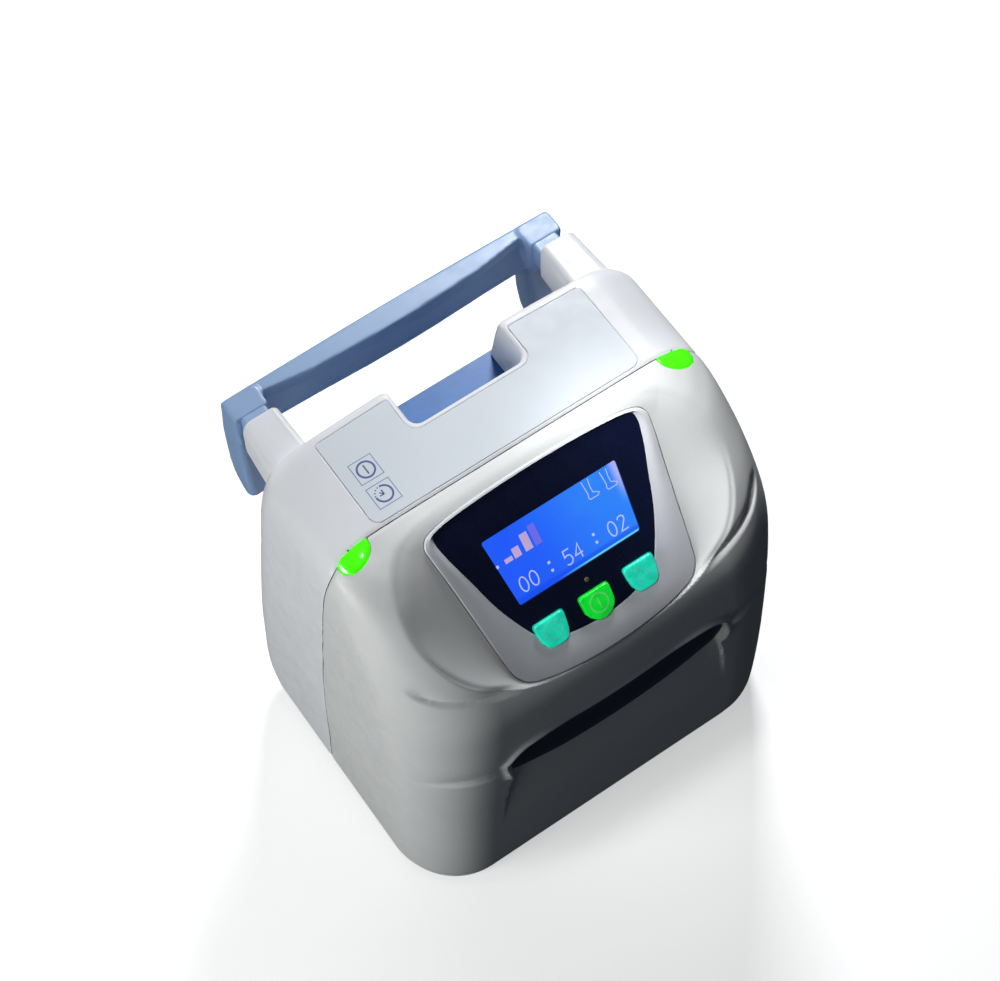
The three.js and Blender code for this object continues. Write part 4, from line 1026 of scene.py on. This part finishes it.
R_OVER = polar(OVERLAY, ANG)
rows = [(R_BEZEL, -2.6 + 0 * ANG[:-1:3])]
fil = 0.85
for k in range(7):
    t = math.pi / 2 * k / 6
    rows.append((R_BEZEL - fil * (1 - math.cos(t)), 0.15 - fil + 0.45 + fil * math.sin(t) - 0.0))
for s in np.linspace(0.06, 0.97, 14):
    rr = (R_BEZEL - fil) * (1 - s) + (R_OVER + 0.35) * s
    rows.append((rr, 0.60 + 0.34 * math.sin(math.pi * min(s * 1.1, 1)) - 0.70 * s**1.7))
rows += [(R_OVER + 0.28, -0.16), (R_OVER + 0.12, -0.26), (R_OVER + 0.12, -1.2)]
bezel = panel_rings("bezel_frame", [(r, w) for r, w in rows])


def bezier(p0, p1, p2, p3, n=10):
    t = np.linspace(0, 1, n + 1)[1:, None]
    p0, p1, p2, p3 = map(np.array, (p0, p1, p2, p3))
    return ((1 - t) ** 3 * p0 + 3 * (1 - t) ** 2 * t * p1 + 3 * (1 - t) * t**2 * p2 + t**3 * p3).tolist()


def key_outline(cx, cv, mid, grow=0.0):
    w, t, b = 6.9 + grow, 5.6 + grow, -6.2 - grow
    c = 1.5
    pts = [(cx - w, cv + t - c)] + bezier((cx - w, cv + t - c), (cx - w, cv + t - c * 0.4), (cx - w + c * 0.4, cv + t), (cx - w + c, cv + t), 5)
    pts += [(cx - w / 2, cv + t), (cx, cv + t), (cx + w / 2, cv + t), (cx + w - c, cv + t)]
    pts += bezier((cx + w - c, cv + t), (cx + w - c * 0.4, cv + t), (cx + w, cv + t - c * 0.4), (cx + w, cv + t - c), 5)
    if mid:
        pts += [(cx + w - 0.15, cv + 1), (cx + w - 0.3, cv - 1.6)]
        pts += bezier((cx + w - 0.3, cv - 1.6), (cx + w - 1.2, cv - 5.0), (cx + 2.6, cv + b - 0.4), (cx, cv + b - 0.6), 12)
        pts += bezier((cx, cv + b - 0.6), (cx - 2.6, cv + b - 0.4), (cx - w + 1.2, cv - 5.0), (cx - w + 0.3, cv - 1.6), 12)
        pts += [(cx - w + 0.15, cv + 1)]
    else:
        pts += [(cx + w - 0.3, cv + 1), (cx + w - 0.9, cv - 2.6)]
        pts += bezier((cx + w - 0.9, cv - 2.6), (cx + w - 1.6, cv - 4.8), (cx + 4.4, cv + b), (cx + 2.2, cv + b - 0.1), 10)
        pts += [(cx, cv + b - 0.15)]
        pts += bezier((cx - 2.2, cv + b - 0.1), (cx - 4.4, cv + b), (cx - w + 1.6, cv - 4.8), (cx - w + 0.9, cv - 2.6), 10)
        pts += [(cx - w + 0.3, cv + 1)]
    return np.array(pts)


KEYS = [("left", -21.2, -30.6, False, TEAL), ("centre", 0.0, -31.0, True, GREEN), ("right", 21.2, -30.6, False, TEAL)]
overlay = panel_rings("overlay_panel", [(R_OVER, -1.05), (R_OVER, -0.30), (R_OVER - 0.10, -0.20), (R_OVER - 0.28, -0.14), (R_OVER - 0.9, -0.12), (R_OVER * 0.97, -0.12), (R_OVER * 0.93, -0.12),
                                         (R_OVER * 0.85, -0.12), (R_OVER * 0.7, -0.12), (R_OVER * 0.4, -0.12)])
WINDOW = np.array([(31.2, 14.4), (30.6, 15.2), (-30.6, 15.2), (-31.2, 14.4), (-28.4, -14.4), (-27.7, -15.1), (27.7, -15.1), (28.4, -14.4)])
for target in (overlay, bezel):
    cut(target, [panel_prism("hole", key_outline(cx, cv, mid, 0.35), -20, 10) for _, cx, cv, mid, _ in KEYS])
    cut(target, [panel_prism("window", WINDOW if target is overlay else rounded(-34, 34, -19, 19, 2), -20, 10)])
    a = np.linspace(0, 2 * math.pi, 25)[:-1]
    cut(target, [panel_prism("lamp", np.column_stack([1.15 * np.cos(a), -20.6 + 1.15 * np.sin(a)]), -20, 10)])
piece(bezel, BEZEL_MAT, replaces=["display_bezel"], sharp=40, weighted=True)
piece(overlay, NAVY, replaces=["display_overlay"], sharp=30, weighted=True)

lcd = panel_prism("screen_glass", rounded(-33, 33, -17.6, 18, 1), -6.6, -0.95)
piece(inside_out(lcd), SCREEN, replaces=["lcd_screen"], sharp=30)


def key_body(name, cx, cv, mid):
    o = key_outline(cx, cv, mid)
    c = np.array([cx, cv - 0.4])
    rows = [(o, -4.4), (o, 0.55)]
    fr = 0.95
    for k in range(1, 8):
        t = math.pi / 2 * k / 7
        d = fr * (1 - math.cos(t))
        u = (o - c) / np.linalg.norm(o - c, axis=1)[:, None]
        rows.append((o - u * d * 1.15, 0.55 + fr * math.sin(t) * 0.85))
    u = (o - c) / np.linalg.norm(o - c, axis=1)[:, None]
    rim = o - u * fr * 1.15
    for s in (0.88, 0.7, 0.5, 0.3, 0.12):
        rows.append((c + (rim - c) * s, 0.55 + fr * 0.85 + 0.20 * (1 - s**2)))
    pts = [on_panel(p[:, 0], p[:, 1], w) for p, w in rows]
    return inside_out(rings(name, pts, "ngon", "fan"))


for side, cx, cv, mid, mat in KEYS:
    piece(key_body(f"key_{side}_cap", cx, cv, mid), mat, body=f"key_{side}", replaces=[f"button_{side}"], sharp=50)


def ribbon(points, width, closed=False):
    """2-D strip along a polyline as (left, right) point lists."""
    p = np.asarray(points, float)
    n = len(p)
    d = np.roll(p, -1, 0) - p
    if not closed:
        d[-1] = d[-2]
    d /= np.maximum(np.linalg.norm(d, axis=1)[:, None], 1e-9)
    prev = np.roll(d, 1, 0)
    if not closed:
        prev[0] = d[0]
    t = d + prev
    t /= np.maximum(np.linalg.norm(t, axis=1)[:, None], 1e-9)
    nrm = np.stack([-t[:, 1], t[:, 0]], -1)
    k = np.clip(1 / np.maximum(np.abs(np.sum(nrm * np.stack([-d[:, 1], d[:, 0]], -1), 1)), 0.5), 1, 2)
    off = nrm * (width / 2) * k[:, None]
    return p + off, p - off


def strips(name, lines, place, thick):
    """One mesh of closed strips: lines are (points, width, closed); place(x, y, h) puts them in space."""
    verts, faces, base = [], [], 0
    for pts, width, closed in lines:
        l, r = ribbon(pts, width, closed)
        n = len(l)
        for h in (thick, 0.0):
            verts.append(place(l[:, 0], l[:, 1], h))
            verts.append(place(r[:, 0], r[:, 1], h))
        tl, tr, bl, br = base, base + n, base + 2 * n, base + 3 * n
        i = np.arange(n if closed else n - 1)
        j = (i + 1) % n
        faces += [np.stack([tl + i, tr + i, tr + j, tl + j], -1), np.stack([bl + i, bl + j, br + j, br + i], -1),
                  np.stack([tl + i, tl + j, bl + j, bl + i], -1), np.stack([tr + i, br + i, br + j, tr + j], -1)]
        if not closed:
            e = n - 1
            faces += [np.array([[tl, bl, br, tr]]), np.array([[tl + e, tr + e, br + e, bl + e]])]
        base += 4 * n
    ob = obj_from(name, np.concatenate(verts), faces)
    return inside_out(ob)


def circle(cx, cy, r, a0=0, a1=360, n=48, ry=None):
    full = abs(a1 - a0) >= 360
    a = np.radians(np.linspace(a0, a1, n, endpoint=not full))
    return np.column_stack([cx + r * np.cos(a), cy + (ry or r) * np.sin(a)])


DIGITS = {
    "0": [(circle(0, 0, 1.62, n=28, ry=3.1), True)],
    "5": [([(1.5, 3.1), (-1.2, 3.1), (-1.35, 0.45), (-0.2, 0.85), (0.9, 0.55), (1.5, -0.35), (1.5, -1.7), (0.8, -2.8), (-0.4, -3.1), (-1.5, -2.6)], False)],
    "4": [([(0.85, -3.1), (0.85, 3.1), (-1.65, -1.1), (1.75, -1.1)], False)],
    "2": [([(-1.45, 2.0), (-0.8, 2.9), (0.5, 3.1), (1.4, 2.3), (1.35, 1.1), (-1.55, -3.0), (1.65, -3.0)], False)],
}
glyphs = []
for text, gx, gv in (("00", -20.7, -8.6), ("54", -0.2, -8.9), ("02", 20.8, -8.8)):
    for ch, dx in zip(text, (-2.35, 2.35)):
        for pts, closed in DIGITS[ch]:
            glyphs.append((np.asarray(pts) + (gx + dx, gv), 0.50, closed))
for gx in (-10.4, 10.5):
    for dv in (-1.75, 1.75):
        glyphs.append(([(gx - 0.55, -8.3 + dv), (gx + 0.55, -8.3 + dv)], 1.1, False))
glyphs.append(([(-30.1, 3.1), (-28.9, 3.1)], 1.25, False))
for lx, lv in ((17.0, 10.2), (25.4, 9.8)):
    shape = np.array([(-1.9, 4.2), (-1.5, 0.8), (-1.3, -1.6), (-1.7, -3.2), (-1.2, -3.9), (2.4, -3.9), (3.3, -3.1), (2.2, -2.3), (0.9, -1.7), (0.7, 0.8), (1.1, 4.2)])
    glyphs.append((shape + (lx, lv), 0.34, False))
on_screen = lambda x, v, h: on_panel(x, v, -0.95 + h)
piece(strips("screen_digits", glyphs, on_screen, 0.05), DIGIT, smooth=False)
bars = [([(-25.9, 3.2), (-22.4, 3.2)], 1.9, False), ([(-21.6, 4.3), (-18.4, 4.3)], 4.3, False), ([(-16.5, 5.9), (-13.1, 5.9)], 7.4, False)]
piece(strips("screen_bars", bars, on_screen, 0.05), BAR, smooth=False)
piece(strips("screen_bar_dim", [([(-12.0, 6.6), (-9.0, 6.6)], 8.8, False)], on_screen, 0.05), BAR_DIM, smooth=False)

# marks on the keys lie on their domed tops
def on_key(cx, cv):
    def place(x, v, h):
        rr = np.clip(np.hypot(np.asarray(x) - cx, np.asarray(v) - cv) / 6.0, 0, 1)
        return on_panel(x, v, 1.3575 + 0.20 * (1 - rr**2) + 0.02 + h)
    return place


k = KEYS[0]
piece(strips("mark_clock", [(circle(k[1], k[2] + 0.2, 3.7, n=56), 0.42, True), ([(k[1], k[2] + 2.6), (k[1], k[2] + 0.2), (k[1] + 1.6, k[2] + 0.2)], 0.36, False)], on_key(k[1], k[2]), 0.05),
      MARK_TEAL, body="key_left", smooth=False)
k = KEYS[1]
piece(strips("mark_power", [(circle(k[1], k[2] + 0.1, 3.9, n=56), 0.62, True), ([(k[1], k[2] + 2.3), (k[1], k[2] - 2.3)], 0.62, False)], on_key(k[1], k[2]), 0.05),
      MARK_GREEN, body="key_centre", smooth=False)
k = KEYS[2]
three = []
for dx, dv in ((-1.9, 2.5), (-2.4, -2.0), (2.1, -0.6)):
    three.append((circle(k[1] + dx, k[2] + dv + 0.9, 0.5, n=14), 0.36, True))
    three.append(([(k[1] + dx - 0.9, k[2] + dv - 0.9), (k[1] + dx, k[2] + dv + 0.1), (k[1] + dx + 0.9, k[2] + dv - 0.9)], 0.4, False))
piece(strips("mark_patient", three, on_key(k[1], k[2]), 0.05), MARK_TEAL, body="key_right", smooth=False)

# symbols on the label film
on_label = lambda x, y, h: np.stack(np.broadcast_arrays(np.asarray(x, float), y, TOP_Z + 0.005 + h), -1)
sq = lambda cx, cy, r: np.array([(cx - r, cy - r), (cx + r, cy - r), (cx + r, cy + r), (cx - r, cy + r)])
ix, iy1, iy2 = -51.6, 58.3, 45.8
piece(strips("label_frames", [(sq(ix, iy1, 5.0), 0.34, True), (sq(ix, iy2, 5.0), 0.34, True)], on_label, 0.02), INK_PALE, smooth=False)
ink = [(circle(ix, iy1, 3.5, n=56), 0.82, True), ([(ix, iy1 + 2.2), (ix, iy1 - 2.2)], 0.62, False)]
ink.append((circle(ix, iy2, 3.5, -180, 90, n=44), 0.82, False))
for a in (100, 122, 144, 166):
    ink.append((circle(ix, iy2, 3.5, a, a + 9, n=3), 0.6, False))
ink += [([(ix - 0.1, iy2 + 1.9), (ix - 0.1, iy2 - 0.2), (ix - 1.9, iy2 - 0.2)], 0.55, False), ([(ix - 0.1, iy2 - 0.2), (ix - 1.4, iy2 + 1.2)], 0.5, False)]
piece(strips("label_symbols", ink, on_label, 0.02), INK, smooth=False)

lampv = -20.6
a = np.linspace(0, 2 * math.pi, 33)[:-1]
rows = [on_panel(r * np.cos(a), lampv + r * np.sin(a), w) for r, w in ((1.0, -2.6), (1.0, -0.2), (0.92, 0.0), (0.7, 0.14), (0.35, 0.22))]
piece(inside_out(rings("status_dot", rows, "ngon", "fan")), AMBER, replaces=["status_lamp"], sharp=50)


# ------------------------------------------------------------------ corner lamps
def lamp(side):
    o = lens_outline(side, -0.02, 9)
    c = np.array([side * 75.2, 30.6])
    rows = []
    for s, h in ((1.0, -5.0), (1.0, -0.45), (0.985, -0.05), (0.95, 0.22), (0.88, 0.42), (0.75, 0.60), (0.55, 0.72), (0.3, 0.80), (0.1, 0.82)):
        q = c + (o - c) * s
        z = casing_top(np.abs(q[:, 0]), q[:, 1])
        rows.append(np.column_stack([q, z + h]))
    ob = inside_out(rings("lamp_right" if side > 0 else "lamp_left", rows, "ngon", "fan"))
    return cut(ob, [parting_half(True)], "INTERSECT")


piece(lamp(-1), LAMP, replaces=["lamp_lens_left"], sharp=55)
piece(lamp(1), LAMP, replaces=["lamp_lens_right"], sharp=55)


# ------------------------------------------------------------------ dark tray in the groove
def tray():
    g = GROOVE_LINE[::2]
    c = np.array([0.0, 106.5])
    rows = []
    for s in (0.997, 0.99, 0.98, 0.965, 0.95, 0.93, 0.91, 0.88, 0.84, 0.78, 0.70, 0.6, 0.48, 0.34, 0.2, 0.08):
        q = c + (g - c) * s
        d, _ = to_polyline(q[:, 0], q[:, 1], g)
        zb = np.interp(q[:, 0], [-50.6, -41, -27, -13, 0, 13, 27, 41, 50.6], [106.4, 102.0, 97.6, 95.6, 95.0, 95.6, 97.6, 102.0, 106.4])
        u = np.clip((q[:, 1] - zb) / 24.0, 0, 1)
        rim = -36.70 - 1.15 * step(0.0, 0.45, u)
        floor = -36.70 + 2.6 * step(0.0, 1.0, u * 1.5)
        y = floor + (rim - floor) * (1 - step(0.0, 1.5, d))
        rows.append(np.column_stack([q[:, 0], y, q[:, 1]]))
    q = c + (g - c) * 0.997
    back = np.column_stack([q[:, 0], np.full(len(q), -33.4), q[:, 1]])
    return inside_out(rings("inlay_tray", [back] + rows, "ngon", "fan"))


piece(tray(), INLAY, replaces=["front_inlay"], sharp=45)


# ------------------------------------------------------------------ base, feet
def base_plate():
    cols = dict(front=60, corner=20, side=30, rear_corner=12, rear=50)
    g0 = section(np.array([14.0]), 2.7, cols)[0]
    c = np.array([0, 33.0])
    rows = []
    for z, d in ((11.9, 0.0), (6, 0.0), (4.4, 0.0), (3.7, 0.25), (3.25, 0.75), (3.0, 1.5), (3.0, 3.0), (3.25, 3.4), (3.25, 8.0)):
        q = g0[:, :2] - (g0[:, :2] - c) / np.linalg.norm(g0[:, :2] - c, axis=1)[:, None] * d
        rows.append(np.column_stack([q, np.full(len(q), z)]))
    ob = inside_out(rings("plinth", rows, "ngon", "ngon"))
    tools = [turned("well", [(3.6, -1), (3.6, 6.4)], (x, y, 0)) for x, y in ((-76, -16), (76, -16), (-76, 84), (76, 84))]
    tools += [turned("seat", [(8.5, -1), (8.5, 3.6)], (x, y, 0)) for x, y in ((-68, 4), (68, 4), (-68, 70), (68, 70))]
    return cut(ob, tools)


piece(base_plate(), WHITE, replaces=["base_plate"], sharp=40, weighted=True)
for i, (x, y) in enumerate(((-68, 4), (68, 4), (-68, 70), (68, 70)), 1):
    prof = [(0.01, 0.25), (3.6, 0.25), (4.0, 0.0), (5.0, 0.0), (5.3, 0.3), (6.0, 0.3), (6.3, 0.0), (7.1, 0.0), (7.7, 0.3), (8.0, 0.9), (8.0, 3.4), (0.01, 3.4)]
    piece(inside_out(turned(f"rubber_foot_{i}", prof, (x, y, 0))), RUBBER, replaces=[f"foot_{i}"], sharp=40)

# ------------------------------------------------------------------ pieces that keep their CAD shape
BY_SLOT = {
    "shell_white": WHITE, "shell_silver": SILVER, "hook_blue": BLUE, "label": LABEL, "bezel_silver": BEZEL_MAT, "overlay_navy": NAVY, "screen_blue": SCREEN,
    "key_teal": TEAL, "key_green": GREEN, "lamp_green": LAMP, "rubber_black": RUBBER, "board_green": BOARD, "steel": STEEL, "alloy": ALLOY,
    "plastic_black": BLACK, "tubing": TUBING, "brass": BRASS, "pack_blue": PACK,
}
KEPT = {
    "hook_stem_left": ALLOY, "hook_stem_right": ALLOY, "stem_stop_pin_left": STEEL, "stem_stop_pin_right": STEEL, "display_board": BOARD, "key_switch_pad": RUBBER,
    "compressor": ALLOY, "compressor_plate": STEEL, "air_reservoir": ALLOY, "valve_manifold": ALLOY, "solenoid_valve_1": BLACK, "solenoid_valve_2": BLACK,
    "main_board": BOARD, "heat_sink": ALLOY, "transformer": STEEL, "battery_pack": PACK, "battery_tray": BLACK, "buzzer": BLACK, "power_inlet": BLACK,
    "inlet_pin_1": BRASS, "inlet_pin_2": BRASS, "inlet_pin_3": BRASS, "air_port_left": BLACK, "air_port_right": BLACK, "supply_tube": TUBING,
    "port_tube_left": TUBING, "port_tube_right": TUBING,
    **{f"base_screw_{i}": STEEL for i in range(1, 5)}, **{f"compressor_mount_{i}": RUBBER for i in range(1, 5)},
}
for name, mat in KEPT.items():
    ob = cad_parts[name]
    ob.data.materials.clear()
    ob.data.materials.append(mat)
    b = ob.modifiers.new("edges", "BEVEL")
    b.width, b.segments, b.limit_method, b.angle_limit = 0.00025, 2, "ANGLE", math.radians(40)
    w = ob.modifiers.new("normals", "WEIGHTED_NORMAL")
    w.keep_sharp = False
    ob.data.polygons.foreach_set("use_smooth", [True] * len(ob.data.polygons))

# ------------------------------------------------------------------ floor, light, camera
def cyclorama():
    """Round floor that rises smoothly into a pale wall all round."""
    prof = [(0.02, 0), (0.3, 0), (0.8, 0), (1.6, 0), (2.2, 0)]
    for k in range(1, 13):
        a = math.pi / 2 * k / 12
        prof.append((2.2 + 0.9 * math.sin(a), 0.9 - 0.9 * math.cos(a)))
    prof.append((3.1, 2.6))
    n = 96
    a = 2 * math.pi * np.arange(n) / n
    lv = np.array([[(r * math.cos(t), r * math.sin(t), z) for t in a] for r, z in prof])
    i = np.arange(n)
    j = np.roll(i, -1)
    quads = np.concatenate([np.stack([k * n + i, k * n + j, (k + 1) * n + j, (k + 1) * n + i], -1) for k in range(len(prof) - 1)])
    ob = obj_from("floor", lv.reshape(-1, 3), [quads, i[None]])
    ob.data.polygons.foreach_set("use_smooth", [True] * len(ob.data.polygons))
    n = Nodes("floor_paper")
    n.link(n.mix(n.span(n.noise(3.0, 4.0), 0.3, 0.7), (0.80, 0.80, 0.80, 1), (0.84, 0.84, 0.84, 1)), n.bsdf.inputs["Base Color"])
    n.set(Roughness=0.95)
    n.bsdf.inputs["Emission Color"].default_value = (1, 1, 1, 1)
    n.bsdf.inputs["Emission Strength"].default_value = 0.52
    n.link(n.bump(n.noise(900.0, 3.0), 0.00004), n.bsdf.inputs["Normal"])
    ob.data.materials.append(n.mat)
    ob.visible_diffuse = False
    ob.visible_glossy = False


cyclorama()


def softbox(name, at, aim, wide, high, power, colour=(1, 1, 1)):
    li = bpy.data.lights.new(name, "AREA")
    li.shape, li.size, li.size_y, li.energy, li.color = "RECTANGLE", wide, high, power, colour
    ob = bpy.data.objects.new(name, li)
    ob.location = at
    ob.rotation_mode = "QUATERNION"
    ob.rotation_quaternion = (Vector(aim) - Vector(at)).to_track_quat("-Z", "Y")
    scene.collection.objects.link(ob)
    return ob


def beam(name, at, aim, angle, power, radius):
    """Soft-edged spot."""
    li = bpy.data.lights.new(name, "SPOT")
    li.spot_size, li.spot_blend, li.energy, li.shadow_soft_size = math.radians(angle), 1.0, power, radius
    ob = bpy.data.objects.new(name, li)
    ob.location = at
    ob.rotation_mode = "QUATERNION"
    ob.rotation_quaternion = (Vector(aim) - Vector(at)).to_track_quat("-Z", "Y")
    scene.collection.objects.link(ob)
    return ob


softbox("key", (0.335, 0.420, 0.68), (0.02, 0.02, 0.17), 0.19, 0.19, 5.2, (0.985, 0.99, 1.0))
softbox("left", (-0.95, 0.06, 0.36), (0, 0, 0.12), 0.40, 0.40, 5.7, (1.0, 1.0, 0.985))
softbox("front_left", (-0.42, -0.165, 0.20), (0, -0.02, 0.12), 0.16, 0.16, 0.22, (0.97, 1.0, 0.985))
beam("display_fill", (-0.21, 0.00, 0.96), (-0.012, -0.060, 0.19), 13.0, 7.6, 0.05)
beam("right_ear", (-0.22, 0.12, 0.92), (0.058, -0.045, 0.194), 6.2, 40.0, 0.03)

world = bpy.data.worlds.new("studio")
scene.world = world
world.use_nodes = True
bg = world.node_tree.nodes["Background"]
bg.inputs["Color"].default_value = (0.52, 0.62, 0.76, 1)
bg.inputs["Strength"].default_value = 0.045

cam_data = bpy.data.cameras.new("camera")
cam = bpy.data.objects.new("camera", cam_data)
scene.collection.objects.link(cam)
scene.camera = cam
cam_data.sensor_width, cam_data.sensor_fit = 36.0, "HORIZONTAL"
cam_data.lens = 2652.56 * 36.0 / 1000
cam_data.clip_start, cam_data.clip_end = 0.05, 20
right = Vector((0.8218382981126203, -0.5695084803546397, -0.0155532170145318))
down = Vector((-0.5103065529542841, -0.723718861537496, -0.4645624085812234))
ahead = Vector((0.2533160748299811, 0.38973208779752794, -0.8854037869659875))
rot = Matrix((right, -down, -ahead)).transposed().to_4x4()
cam.matrix_world = Matrix.Translation((-0.269277, -0.413956, 1.106589)) @ rot

scene.view_settings.view_transform = "Standard"
scene.view_settings.look = "None"
scene.view_settings.exposure = 0.0
